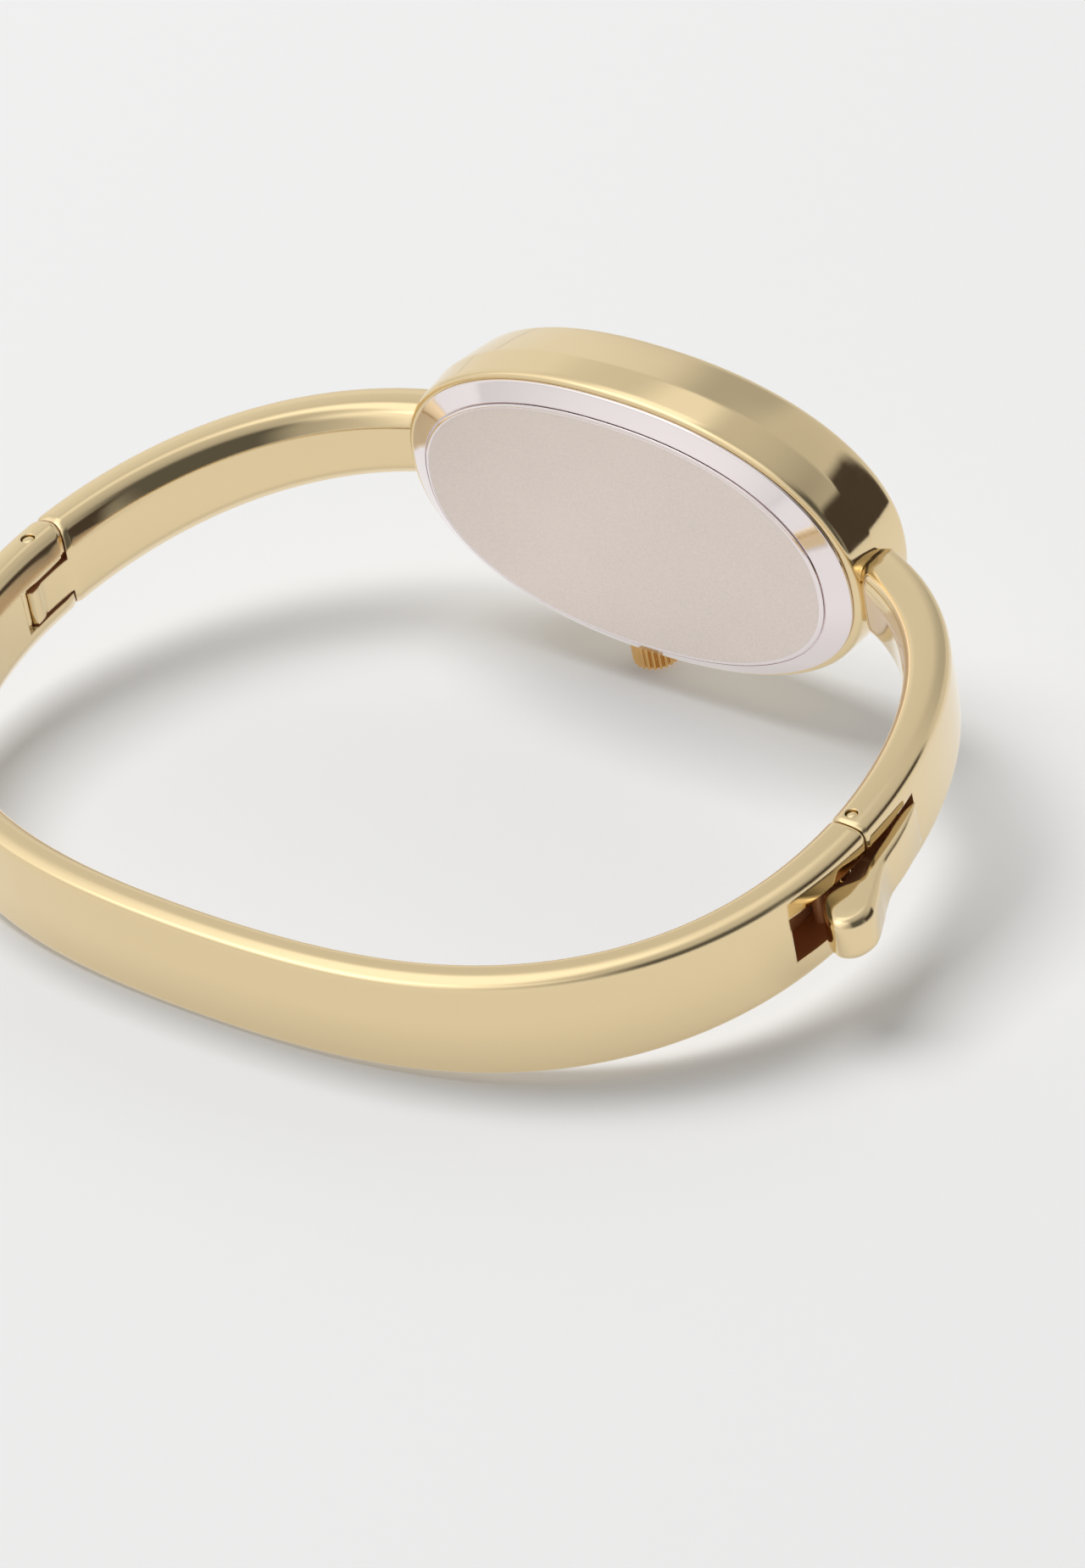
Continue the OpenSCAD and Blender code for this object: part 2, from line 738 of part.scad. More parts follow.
// Crown and stem, along +Y in the case's frame
module on_stem() {
    in_case()
        translate([crown_x, 0, crown_h])
            rotate([-90, 0, 0])
                children();
}
module crown_tube() {
    color("#c7b27c")
        on_stem()
            tube(tube_r, stem_r + 0.05, case_b - 2.15, crown_from + 0.3);
}
module crown() {
    wave = crown_r * 0.045;
    color(deep_gold)
        on_stem()
            difference() {
                intersection() {
                    translate([0, 0, crown_from])
                        linear_extrude(crown_l)
                            polygon([for (i = [0:crown_flutes * 4 - 1])
                                let (r = crown_r - wave + wave * cos(i * 90))
                                    r * [cos(i * 90 / crown_flutes), sin(i * 90 / crown_flutes)]]);
                    rotate_extrude()
                        polygon([[0, crown_from], [crown_r - 0.15, crown_from],
                            [crown_r, crown_from + 0.15], [crown_r, crown_to - 0.2],
                            [crown_r - 0.2, crown_to], [0, crown_to]]);
                }
                disc(1, crown_from - 1, crown_from + 0.75);
                disc(stem_r - 0.05, crown_from, crown_from + 1.2);
            }
}
module crown_seal() {
    color("#2b2b2b")
        on_stem()
            tube(0.97, tube_r + 0.03, crown_from + 0.32, crown_from + 0.7);
}
module stem() {
    color("#b8b8bc")
        on_stem() {
            disc(stem_r, stem_from, crown_from + 0.6);
            disc(stem_r - 0.05, crown_from + 0.5, crown_from + 1.2);
        }
}
module clutch_wheel() {
    color("#b8b8bc")
        on_stem()
            tube(stem_r + 0.08, stem_r, clutch_from, clutch_from + 0.7);
}

// Arms, brazed to the ends of the case
module in_ring() {
    at_rest()
        children();
}
// What the arms are cut back to: an upright oval just outside the case's side
module case_block() {
    translate([0, case_y, case_rise])
        rotate([-90, 0, 0])
            oval_plate(-side_ridge, -4, 9);
}
module upright(r, at, h) {
    translate([at.x, at.y, -h / 2])
        cylinder(r = r, h = h);
}
module left_arm() {
    h = hinge_at;
    color(gold)
        in_ring()
            difference() {
                sweep(hinge_angle - tongue_span, 329, 2);
                case_block();
                for (s = [-1, 1])
                    translate([0, 0, tongue_up + s * (tongue_w / 2 + 5)]) {
                        upright(knuckle_r + hinge_gap, h, 10);
                        translate([h.x - 5, h.y - 10, -5])
                            cube([10, 10, 10]);
                    }
                difference() {
                    translate([h.x - 5, h.y - 10, -5])
                        cube([10, 10, 10]);
                    upright(tongue_r, h, 11);
                }
                upright(hinge_pin_r, h, 20);
            }
}
module slot_cut(from, to) {
    translate([clasp_at.x - clasp_in + slot_floor, clasp_at.y + from, -slot_w / 2])
        cube([9, to - from, slot_w]);
}
module right_arm() {
    c = clasp_at;
    color(gold)
        in_ring()
            difference() {
                sweep(31, clasp_angle + 5, 2);
                case_block();
                translate([c.x - 8, c.y - arm_end - 10, -8])
                    cube([16, 10, 16]);
                slot_cut(-5, slot_up);
                upright(latch_pin_r, c, 20);
            }
}
module front_band() {
    c = clasp_at;
    h = hinge_at;
    color(gold)
        in_ring()
            difference() {
                sweep(clasp_angle - 5, hinge_angle + 8, 2);
                translate([c.x - 8, c.y - arm_end - seam_gap, -8])
                    cube([16, 16, 16]);
                slot_cut(-slot_down, 0);
                difference() {
                    translate([h.x - 8, h.y, -8])
                        cube([16, 16, 16]);
                    upright(knuckle_r, h, 17);
                }
                translate([0, 0, tongue_up])
                    upright(tongue_r + hinge_gap, h, tongue_w + 2 * hinge_gap);
                translate([h.x - 5, h.y, tongue_up - tongue_w / 2 - hinge_gap])
                    cube([10, 8, tongue_w + 2 * hinge_gap]);
                upright(hinge_pin_r + 0.02, h, 20);
                upright(catch_r, [c.x - 0.05, c.y - catch_y], slot_w + 1.6);
            }
}
module hinge_pin() {
    color(deep_gold)
        in_ring()
            upright(hinge_pin_r, hinge_at, band_w(hinge_angle) * 0.96);
}
module latch_pin() {
    color(deep_gold)
        in_ring()
            upright(latch_pin_r, clasp_at, band_w(clasp_angle) * 0.96);
}
module catch_bar() {
    color(deep_gold)
        in_ring()
            upright(catch_r, [clasp_at.x - 0.05, clasp_at.y - catch_y], slot_w + 1.6);
}

// The lever's side outline: a smooth closed curve through a few points round the pin
lever_u = catch_y / 4.2;
tab_at = lever_u * [3.15, -5.5];
lever_outline = concat(
    lever_u * [[1.45, 4.05], [2.05, 2.5], [2.45, 0.9], [2.75, -0.8], [3.25, -2.1], [4, -3.6]],
    [for (q = [[1, 0.2], [0.75, -0.7], [0.05, -1.07]]) tab_at + tab_r * q],
    lever_u * [[2.1, -6.5], [1.3, -5.3], [0.6, -4.35], [1, -3.05], [0.6, -1.2],
        [-0.5, -0.6], [-0.6, 0.6], [0.5, 2]]
);
function bend(a, b, c, d, t) = 0.5 * (2 * b + (c - a) * t
    + (2 * a - 5 * b + 4 * c - d) * t * t + (3 * b - a - 3 * c + d) * t * t * t);
function smooth(pts, steps) = let (n = len(pts)) [
        for (i = [0:n - 1], k = [0:steps - 1])
            bend(pts[(i + n - 1) % n], pts[i], pts[(i + 1) % n], pts[(i + 2) % n], k / steps)
    ];
module latch_lever() {
    color(gold)
        in_ring()
            translate([clasp_at.x, clasp_at.y, -lever_w / 2])
                difference() {
                    linear_extrude(lever_w)
                        polygon(smooth(lever_outline, 6));
                    translate([0, 0, -1])
                        cylinder(r = latch_pin_r + 0.03, h = lever_w + 2);
                }
}

case_middle();
case_back();
case_back_seal();
crystal();
crystal_seal();
dial();
hour_markers();
movement_holder();
main_plate();
centre_tube();
circuit_board();
control_chip();
quartz_can();
coil();
stator();
rotor();
intermediate_wheel();
third_wheel();
centre_wheel();
train_bridge();
bridge_screws();
battery();
battery_strap();
cannon_pinion();
minute_wheel();
hour_wheel();
hour_hand();
minute_hand();
crown_tube();
crown();
crown_seal();
stem();
clutch_wheel();
left_arm();
right_arm();
front_band();
hinge_pin();
latch_lever();
latch_pin();
catch_bar();
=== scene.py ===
import json
import math

import bmesh
import bpy
from bpy.props import FloatProperty, FloatVectorProperty, IntProperty, PointerProperty
from mathutils import Matrix, Quaternion, Vector


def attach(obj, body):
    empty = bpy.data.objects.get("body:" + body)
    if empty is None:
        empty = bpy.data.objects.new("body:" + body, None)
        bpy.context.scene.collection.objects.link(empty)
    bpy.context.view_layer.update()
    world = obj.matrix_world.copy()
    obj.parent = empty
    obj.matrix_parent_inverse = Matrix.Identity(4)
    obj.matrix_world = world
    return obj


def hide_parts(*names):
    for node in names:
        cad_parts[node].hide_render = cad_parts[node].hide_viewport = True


bl_info = {
    "name": "Bangle Watch",
    "version": (1, 0, 0),
    "blender": (4, 5, 0),
    "location": "View3D > Sidebar > Watch",
    "description": "Dresses the packed bangle watch with its visible pieces and finishes",
    "category": "Object",
}

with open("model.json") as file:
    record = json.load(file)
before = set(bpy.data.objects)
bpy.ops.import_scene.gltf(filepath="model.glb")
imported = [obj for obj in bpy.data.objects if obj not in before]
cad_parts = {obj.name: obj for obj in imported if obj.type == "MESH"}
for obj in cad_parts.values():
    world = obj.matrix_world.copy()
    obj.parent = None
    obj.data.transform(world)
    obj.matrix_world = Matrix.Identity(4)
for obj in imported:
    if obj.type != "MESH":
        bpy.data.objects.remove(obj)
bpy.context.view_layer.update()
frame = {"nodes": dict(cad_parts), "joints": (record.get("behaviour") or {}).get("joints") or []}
MM = 0.001


# Values

def linear(code):
    """Turns an sRGB hex colour into the linear colour that the shaders use."""
    parts = [int(code[i:i + 2], 16) / 255 for i in (1, 3, 5)]
    return tuple(p / 12.92 if p <= 0.04045 else ((p + 0.055) / 1.055) ** 2.4 for p in parts) + (1.0,)


def length(name, about, mm):
    return FloatProperty(name=name, description=about, default=mm * MM, precision=5,
                         subtype="DISTANCE", unit="LENGTH")


def share(name, about, value):
    return FloatProperty(name=name, description=about, default=value, min=0, max=1, subtype="FACTOR")


def angle(name, about, degrees):
    return FloatProperty(name=name, description=about, default=math.radians(degrees),
                         subtype="ANGLE", unit="ROTATION")


def colour(name, about, code):
    return FloatVectorProperty(name=name, description=about, default=linear(code), size=4,
                               min=0, max=1, subtype="COLOR")


class RingSizes(bpy.types.PropertyGroup):
    half_w: length("Half width", "Half the width of the ring, to the band's centre line", 30.44)
    half_d: length("Half depth", "Half the depth of the ring, to the band's centre line", 23.38)
    corner: length("Corner", "How far the ring's corners stand out", -0.82)
    lift: length("Lift", "How far the ring is pushed towards the dial", 0.745)
    taper: length("Taper", "Three-sided shaping of the ring", -0.25)
    waist: length("Waist", "Five-sided shaping, which straightens the ring beside the case", -0.325)
    shift: length("Shift", "How far the ring is pushed towards the clasp", -0.7)
    skew: length("Skew", "Slant of the ring from hand bending", -0.41)
    w_front: length("Front width", "Width of the band at the front", 7.02)
    w_side: length("Side width", "Width of the band at the hinge and the clasp", 6.43)
    w_case: length("Case width", "Width of the arms where they meet the case", 4.56)
    t_front: length("Front thickness", "Thickness of the band at the front", 2.39)
    t_case: length("Case thickness", "Thickness of the arms where they meet the case", 3.33)
    inner: share("Inner face", "Flat inner face as a share of the width", 0.6)
    outer: share("Outer face", "Outer face as a share of the width", 0.92)
    belly: share("Belly", "Depth of the widest line as a share of the thickness", 0.24)
    belly_left: share("Belly at the hinge", "How much wider the inner bevel is on the hinge side", 0.18)


class JointSizes(bpy.types.PropertyGroup):
    hinge_angle: angle("Hinge angle", "Where the hinge pin stands round the ring", 273)
    hinge_out: length("Hinge offset", "Hinge pin outside the centre line", 0.24)
    hinge_pin: length("Hinge pin", "Radius of the hinge pin", 0.4)
    knuckle: length("Knuckle", "Radius of the rounded end of the band's cheeks", 2.0)
    tongue_w: length("Tongue width", "Width of the arm's tongue", 3.0)
    tongue_up: length("Tongue height", "How far the tongue sits above the middle of the band", 0.2)
    tongue: length("Tongue end", "Radius of the tongue's rounded end", 3.3)
    slot_lip: length("Slot lip", "Width of the shallow lip round the hinge's slot", 0.5)
    gap: length("Hinge gap", "Gap between the moving faces of the hinge", 0.08)
    clasp_angle: angle("Clasp angle", "Where the latch pin stands round the ring", 88.1)
    clasp_out: length("Clasp offset", "Latch pin outside the centre line", -0.1)
    latch_pin: length("Latch pin", "Radius of the latch pin", 0.4)
    arm_end: length("Arm end", "Distance from the latch pin to the end of the arm", 0.85)
    seam: length("Seam", "Gap between the arm and the band", 0.1)
    slot_w: length("Slot width", "Width of the slot for the lever", 3.2)
    slot_up: length("Slot in the arm", "Slot length from the pin towards the case", 4.5)
    slot_down: length("Slot in the band", "Slot length from the pin into the band", 8.0)
    floor: length("Slot floor", "Thickness left under the slot", 0.4)
    catch: length("Catch bar", "Radius of the catch bar", 0.4)
    catch_y: length("Catch distance", "Distance of the catch bar from the latch pin", 4.2)
    lever_w: length("Lever width", "Width of the latch lever", 2.9)
    tab: length("Thumb tab", "Radius of the rounded thumb tab", 1.5)


class CaseSizes(bpy.types.PropertyGroup):
    a: length("Half length", "Half length of the case", 16.62)
    b: length("Half width", "Half width of the case", 10.07)
    power: FloatProperty(name="Roundness", description="Roundness of the oval, 2 for an ellipse",
                         default=2.19, min=1.5, max=4)
    depth: length("Depth", "Depth of the case from its back edge to its bezel", 5.73)
    sink: length("Sink", "Back edge inside the ring's centre line", 2.88)
    rise: length("Rise", "How far the case sits towards the ring's upper side", 0.59)
    inset: length("Bezel inset", "How much narrower the case is at its bezel", 0.38)
    bevel: length("Bezel bevel", "Width of the bevel on the bezel", 0.4)
    ridge: length("Side ridge", "How far the ridge along the side stands out", 0.12)
    ridge_at: share("Ridge height", "Height of that ridge as a share of the depth", 0.37)
    edge: length("Gold edge", "Radius of the rounded gold edge round the back", 0.38)
    rim: length("Back rim", "Width of the gold rim under the edge of the steel back", 0.95)
    back_t: length("Back thickness", "Thickness of the back inside the case", 0.75)
    proud: length("Back height", "How far the raised plate of the back stands out", 1.3)
    back_edge: length("Back edge", "Back's edge inside the case's outline", 0.42)
    back_edge_h: length("Back edge height", "How far the back's edge stands out of the case", 0.47)
    back_bevel: length("Back bevel", "Width of the polished bevel round the raised plate", 1.08)
    back_ends: length("Back bevel ends", "How much wider that bevel is at the two ends", 0.4)
    seal_t: length("Back seal thickness", "Thickness of the back's seal", 0.3)
    seal_w: length("Back seal width", "Width of the back's seal", 0.8)
    flat: length("Bezel flat", "Width of the bezel's flat top", 2.6)
    glass_seal: length("Crystal seal", "Width of the seal round the crystal", 0.35)
    glass_t: length("Crystal thickness", "Thickness of the crystal at its edge", 0.85)
    dome: length("Crystal dome", "Extra height of the crystal's middle", 0.35)
    ledge: length("Crystal ledge", "Width of the ledge under the crystal", 1.0)
    dial_t: length("Dial thickness", "Thickness of the dial", 0.4)
    room: length("Hand room", "Room between the dial and the crystal's ledge", 0.95)
    marker: length("Marker length", "Length of the hour markers", 1.1)
    hour_l: length("Hour hand", "Length of the hour hand", 4.0)
    minute_l: length("Minute hand", "Length of the minute hand", 5.7)


class CrownSizes(bpy.types.PropertyGroup):
    x: length("Place", "Crown along the case, off its middle", -1.7)
    h: length("Height", "Crown's axis above the case's back edge", 1.75)
    r: length("Radius", "Radius of the crown", 1.5)
    l: length("Length", "Length of the crown", 1.82)
    gap: length("Gap", "Gap between the crown and the case", 0.27)
    tube: length("Tube", "Outer radius of the crown tube", 0.65)
    flutes: IntProperty(name="Flutes", description="How many flutes the crown has",
                        default=24, min=8, max=60)


class Finishes(bpy.types.PropertyGroup):
    gold: colour("Gold plate", "Polished pale gold plating", "#E8D2A7")
    # The deep gold is partly painted shade: darkened for the crown in the shade under the case
    deep_gold: colour("Deep gold", "Darker gold of the crown, hands and markers", "#D2A86C")
    # Painted shade: this dull reddish gold stands in for the shade inside the slots and gaps
    shade_in_slots: colour("Recess gold", "Thin reddish gold in slots and gaps", "#D8A070")
    steel: colour("Satin steel", "Satin steel of the case back", "#E6DAD2")
    bright_steel: colour("Bright steel", "Polished steel bevel", "#EFE6E6")
    enamel: colour("Dial enamel", "Warm white dial", "#F1EADC")
    floor: colour("Floor", "Pale studio floor", "#EBEBEB")


# Shape of the ring and the case

def ring():
    return bpy.context.scene.watch_ring


def joint():
    return bpy.context.scene.watch_joint


def case():
    return bpy.context.scene.watch_case


def crown():
    return bpy.context.scene.watch_crown


def finish():
    return bpy.context.scene.watch_finish


def ring_r(p):
    """Radius of the ring's centre line at an angle: 0 at the case, 90 degrees at the clasp."""
    s = ring()
    mean = (s.half_w + s.half_d) / 2 - s.corner
    oval = (s.half_d - s.half_w) / 2
    return (mean + s.lift * math.cos(p) + oval * math.cos(2 * p) + s.taper * math.cos(3 * p)
            + s.corner * math.cos(4 * p) + s.waist * math.cos(5 * p)
            + s.shift * math.sin(p) + s.skew * math.sin(2 * p))


def ring_at(p):
    return Vector((math.sin(p), math.cos(p))) * ring_r(p)


def ring_out(p):
    """The direction out of the ring, square to its centre line."""
    step = 1e-4
    along = ring_at(p + step) - ring_at(p - step)
    return Vector((-along.y, along.x)).normalized()


def band_w(p):
    s = ring()
    ends = (s.w_front + s.w_case) / 2
    return ((s.w_side + ends) / 2 - (s.w_front - s.w_case) / 2 * math.cos(p)
            + (ends - s.w_side) / 2 * math.cos(2 * p))


def band_t(p):
    s = ring()
    return (s.t_case + s.t_front) / 2 + (s.t_case - s.t_front) / 2 * math.cos(p)


def hinge_at():
    j = joint()
    return ring_at(j.hinge_angle) + ring_out(j.hinge_angle) * j.hinge_out


def clasp_at():
    j = joint()
    return ring_at(j.clasp_angle) + ring_out(j.clasp_angle) * j.clasp_out


def at_rest():
    """Places the upright watch in its resting pose, read from the frame's hinge."""
    hinge = next(j for j in frame["joints"] if j["name"] == "bangle_hinge")
    tip = math.atan2(hinge["axis"][1], -hinge["axis"][2])
    turn = Matrix.Rotation(tip, 4, "X")
    spot = turn @ Vector((*hinge_at(), 0))
    return Matrix.Translation(Vector(hinge["pos_m"]) - spot) @ turn


def in_case():
    """The case's own frame: its back edge at height 0, the dial up, the crown at +Y."""
    c = case()
    y = ring_at(0).y - c.sink
    return at_rest() @ Matrix(((1, 0, 0, 0), (0, 0, 1, y), (0, -1, 0, c.rise), (0, 0, 0, 1)))


def on_stem():
    k = crown()
    return in_case() @ Matrix(((1, 0, 0, k.x), (0, 0, 1, 0), (0, -1, 0, k.h), (0, 0, 0, 1)))


def heights():
    """Heights and insets inside the case, from the same sizes as the solids."""
    c = case()
    h = {}
    past_seal, glass_drop, crown_sink = 0.67 * MM, 0.73 * MM, 0.11 * MM
    h["seal"] = c.back_t + c.seal_t
    h["cavity"] = c.rim + c.seal_w + past_seal
    h["dial_from"] = c.depth - glass_drop - c.room - c.dial_t
    h["dial_to"] = h["dial_from"] + c.dial_t
    h["ledge_to"] = h["dial_to"] + c.room
    h["crystal"] = c.inset + c.bevel + c.flat
    h["glass"] = h["crystal"] + c.glass_seal
    h["ledge"] = h["glass"] + c.ledge - c.glass_seal
    h["crown_from"] = c.b + c.ridge * 0.7 + crown().gap - crown_sink
    h["crown_to"] = h["crown_from"] + crown().l
    return h


def rounded(corners, steps):
    """Rounds a closed polygon: each corner is (x, y, radius)."""
    out = []
    n = len(corners)
    for i, (x, y, r) in enumerate(corners):
        here = Vector((x, y))
        if r <= 0:
            out.append(here)
            continue
        before = Vector(corners[i - 1][:2]) - here
        after = Vector(corners[(i + 1) % n][:2]) - here
        cut = min(r, before.length * 0.49, after.length * 0.49)
        a = here + before.normalized() * cut
        b = here + after.normalized() * cut
        for k in range(steps + 1):
            t = k / steps
            out.append(a * (1 - t) ** 2 + here * (2 * t * (1 - t)) + b * t ** 2)
    return out


def band_section(p):
    """The band's cross-section: distance out of the centre line, and height."""
    s = ring()
    t, h = band_t(p) - 0.02 * MM, band_w(p) / 2 - 0.012 * MM
    b = s.belly + s.belly_left * ((1 - math.sin(p)) / 2) ** 2
    half = [
        (-t / 2, h * s.inner * 0.98, 0.3 * MM),
        (-t / 2 + b * t * 0.45, h * (s.inner + (1 - s.inner) * 0.75), 0.5 * MM),
        (-t / 2 + b * t, h, 0.55 * MM),
        (-t / 2 + t * (b + (1 - b) * 0.6), h * (s.outer + (1 - s.outer) * 0.85), 0.6 * MM),
        (t / 2 - t * 0.07, h * (s.outer + (1 - s.outer) * 0.2), 0.35 * MM),
        (t / 2 - t * 0.012, h * s.outer - t * 0.1, 0.5 * MM),
        (t / 2, h * 0.3, 2.0 * MM),
    ]
    return rounded(half + [(x, -y, r) for x, y, r in reversed(half)], 4)


def oval(a, b, count):
    """Points of the case's oval with the half length a and the half width b."""
    power = 2 / case().power
    out = []
    for i in range(count):
        q = 2 * math.pi * i / count
        x, y = math.cos(q), math.sin(q)
        out.append(Vector((a * math.copysign(abs(x) ** power, x),
                           b * math.copysign(abs(y) ** power, y))))
    return out


# Mesh making

def new_piece(name, verts, faces, matrix=None):
    mesh = bpy.data.meshes.new(name)
    mesh.from_pydata([tuple(v) for v in verts], [], faces)
    mesh.validate()
    if matrix is not None:
        mesh.transform(matrix)
    piece = bpy.data.objects.new(name, mesh)
    bpy.context.scene.collection.objects.link(piece)
    return piece


def tube_faces(rings, around):
    """Quads between rings of points, and from the last ring back to the first."""
    faces = []
    for i in range(rings):
        for k in range(around):
            a, b = i * around, ((i + 1) % rings) * around
            n = (k + 1) % around
            faces.append((a + k, a + n, b + n, b + k))
    return faces


def capped(rings, around):
    """Quads between rings of points, with a cap on the first ring and on the last."""
    last = (rings - 1) * around
    caps = [tuple(reversed(range(around))), tuple(range(last, last + around))]
    return tube_faces(rings, around)[:last] + caps


def sweep(name, start, end, slim, step=1.25, fine=()):
    """Sweeps the band's section along the ring between two angles in degrees. slim tells
    how far a point is drawn in, and the steps are short about the fine angles."""
    count = math.ceil(abs(end - start) / step)
    stops = [start + (end - start) * i / count for i in range(count + 1)]
    short, many = 0.13, 10
    stops = [a for a in stops if all(abs(a - f) > short * (many + 0.5) for f in fine)]
    stops += [f + short * k for f in fine for k in range(-many, many + 1)]
    stops.sort(reverse=end < start)
    verts = []
    for stop in stops:
        p = math.radians(stop)
        c, n = ring_at(p), ring_out(p)
        for q in band_section(p):
            d = slim(c + n * q.x, q.y)
            x = q.x - math.copysign(min(d, abs(q.x)), q.x)
            z = q.y - math.copysign(min(d, abs(q.y)), q.y)
            verts.append((c.x + n.x * x, c.y + n.y * x, z))
    return new_piece(name, verts, capped(len(stops), len(verts) // len(stops)))


def soft_end(distance, reach, deep):
    """How far a surface is drawn in at a distance from its end, which rounds the edge."""
    return deep * max(0, 1 - max(0, distance) / reach) ** 2


def lathe(name, profile, count=96, wave=None, matrix=None, closed=False):
    """Turns a profile of (radius, height) about Z. A wave changes the radius round the turn."""
    verts = []
    for r, z in profile:
        for k in range(count):
            q = 2 * math.pi * k / count
            wide = r + (wave(q, r, z) if wave else 0)
            verts.append((wide * math.cos(q), wide * math.sin(q), z))
    faces = (tube_faces if closed else capped)(len(profile), count)
    return new_piece(name, verts, faces, matrix)


def oval_loft(name, levels, count, closed=False):
    """Lofts ovals of (height, inset, further inset at the ends); closed joins last to first."""
    c = case()
    verts = []
    for z, inset, *ends in levels:
        verts += [(q.x, q.y, z) for q in oval(c.a - inset - sum(ends), c.b - inset, count)]
    faces = (tube_faces if closed else capped)(len(levels), count)
    return new_piece(name, verts, faces)


def plate(name, outline, low, high, radii, steps=6):
    """Makes a plate from an outline. Its edges are rounded to the radius given per point."""
    n = len(outline)
    inward = []
    for i in range(n):
        along = outline[(i + 1) % n] - outline[i - 1]
        inward.append(Vector((-along.y, along.x)).normalized())
    turns = [math.pi / 2 * k / steps for k in range(steps + 1)]
    verts = []
    for face, way, order in ((low, 1, turns), (high, -1, turns[::-1])):
        for a in order:
            for q, m, r in zip(outline, inward, radii):
                inset = r * (1 - math.sin(a)) + 0.01 * MM
                verts.append((*(q + m * inset), face + way * r * (1 - math.cos(a))))
    return new_piece(name, verts, capped(2 * steps + 2, n))


def block(low, high):
    """A cutting block between two corners."""
    xs, ys, zs = zip(low, high)
    verts = [(x, y, z) for z in zs for y in ys for x in xs]
    faces = [(0, 2, 3, 1), (4, 5, 7, 6), (0, 1, 5, 4), (2, 6, 7, 3), (0, 4, 6, 2), (1, 3, 7, 5)]
    return new_piece("cutter", verts, faces)


def beam(x, half, y, z=None):
    """A cutting block that reaches half its width to both sides of x, between two Y and two
    Z. Without Z it is as high as wide."""
    z = z or (-half, half)
    return block((x - half, y[0], z[0]), (x + half, y[1], z[1]))


def post(r, low, high, at=(0, 0), count=96):
    """An upright cutting post."""
    return lathe("cutter", [(r, low), (r, high)], count, matrix=Matrix.Translation((*at, 0)))


def fix_normals(piece):
    bm = bmesh.new()
    bm.from_mesh(piece.data)
    bmesh.ops.recalc_face_normals(bm, faces=bm.faces)
    bm.to_mesh(piece.data)
    bm.free()


def apply_modifiers(piece):
    shaped = piece.evaluated_get(bpy.context.evaluated_depsgraph_get())
    mesh = bpy.data.meshes.new_from_object(shaped)
    piece.modifiers.clear()
    old = piece.data
    piece.data = mesh
    bpy.data.meshes.remove(old)


def cut(piece, *cutters, operation="DIFFERENCE"):
    """Cuts each cutter out of the piece and removes the cutters."""
    fix_normals(piece)
    for tool in cutters:
        fix_normals(tool)
        mod = piece.modifiers.new("cut", "BOOLEAN")
        mod.operation, mod.solver, mod.object = operation, "EXACT", tool
        apply_modifiers(piece)
        bpy.data.objects.remove(tool)
    if len(piece.data.polygons) < 6:
        raise RuntimeError(f"{piece.name} was cut away")


def smooth(piece, degrees=32):
    fix_normals(piece)
    piece.data.shade_smooth()
    piece.data.set_sharp_from_angle(angle=math.radians(degrees))


def join(name, pieces):
    bm = bmesh.new()
    for p in pieces:
        bm.from_mesh(p.data)
    mesh = bpy.data.meshes.new(name)
    bm.to_mesh(mesh)
    bm.free()
    for p in pieces:
        bpy.data.objects.remove(p)
    whole = bpy.data.objects.new(name, mesh)
    bpy.context.scene.collection.objects.link(whole)
    return whole


def place(piece, body, material, *nodes, slot=None, matrix=None, crease=32, inner=None,
          inner_material=None):
    """Finishes a piece: its place, shading, material, body and the nodes it stands for.
    inner tells which faces have the second material."""
    marked = [inner(face) for face in piece.data.polygons] if inner else []
    if matrix is not None:
        piece.data.transform(matrix)
    smooth(piece, crease)
    piece.data.materials.clear()
    piece.data.materials.append(material)
    if inner:
        piece.data.materials.append(inner_material)
        piece.data.polygons.foreach_set("material_index", marked)
    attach(piece, body)
    if nodes:
        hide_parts(*nodes)
    return piece


# Materials

def feed(tree, node, inputs):
    """Fills a node's inputs, in order or by name from a dictionary. A value is set, and a
    node or one of its outputs is linked."""
    if isinstance(inputs, dict):
        pairs = [(node.inputs[name], value) for name, value in inputs.items()]
    else:
        pairs = zip([socket for socket in node.inputs if socket.enabled], inputs)
    for socket, value in pairs:
        if isinstance(value, bpy.types.Node):
            value = next(out for out in value.outputs if out.enabled)
        if isinstance(value, bpy.types.NodeSocket):
            tree.links.new(value, socket)
        else:
            socket.default_value = value


def add_node(tree, kind, inputs=(), **settings):
    """Adds a node with its settings and links."""
    node = tree.nodes.new(kind)
    for key, value in settings.items():
        setattr(node, key, value)
    feed(tree, node, inputs)
    return node


def new_material(name):
    """Returns a material, its tree and its shader; only the material if it's made already."""
    material = bpy.data.materials.get(name)
    if material:
        return material, None, None
    material = bpy.data.materials.new(name)
    material.use_nodes = True
    tree = material.node_tree
    return material, tree, tree.nodes["Principled BSDF"]


def two_tone(name, size_mm, detail, first, second):
    """A material whose colour wanders between two tones in patches of a real size. Returns
    it, its tree, its shader and its pattern; only the material if it's made already."""
    material, tree, shader = new_material(name)
    if tree is None:
        return material, None, None, None
    spot = add_node(tree, "ShaderNodeTexCoord").outputs["Object"]
    pattern = add_node(tree, "ShaderNodeTexNoise", {
        "Vector": spot, "Scale": 1 / (size_mm * MM), "Detail": detail})
    tone = add_node(tree, "ShaderNodeMix", (pattern, first, second), data_type="RGBA")
    feed(tree, shader, {"Base Color": tone})
    return material, tree, shader, pattern


def shade(rgba, k):
    """The colour k times as bright."""
    return tuple(min(1, v * k) for v in rgba[:3]) + (1.0,)


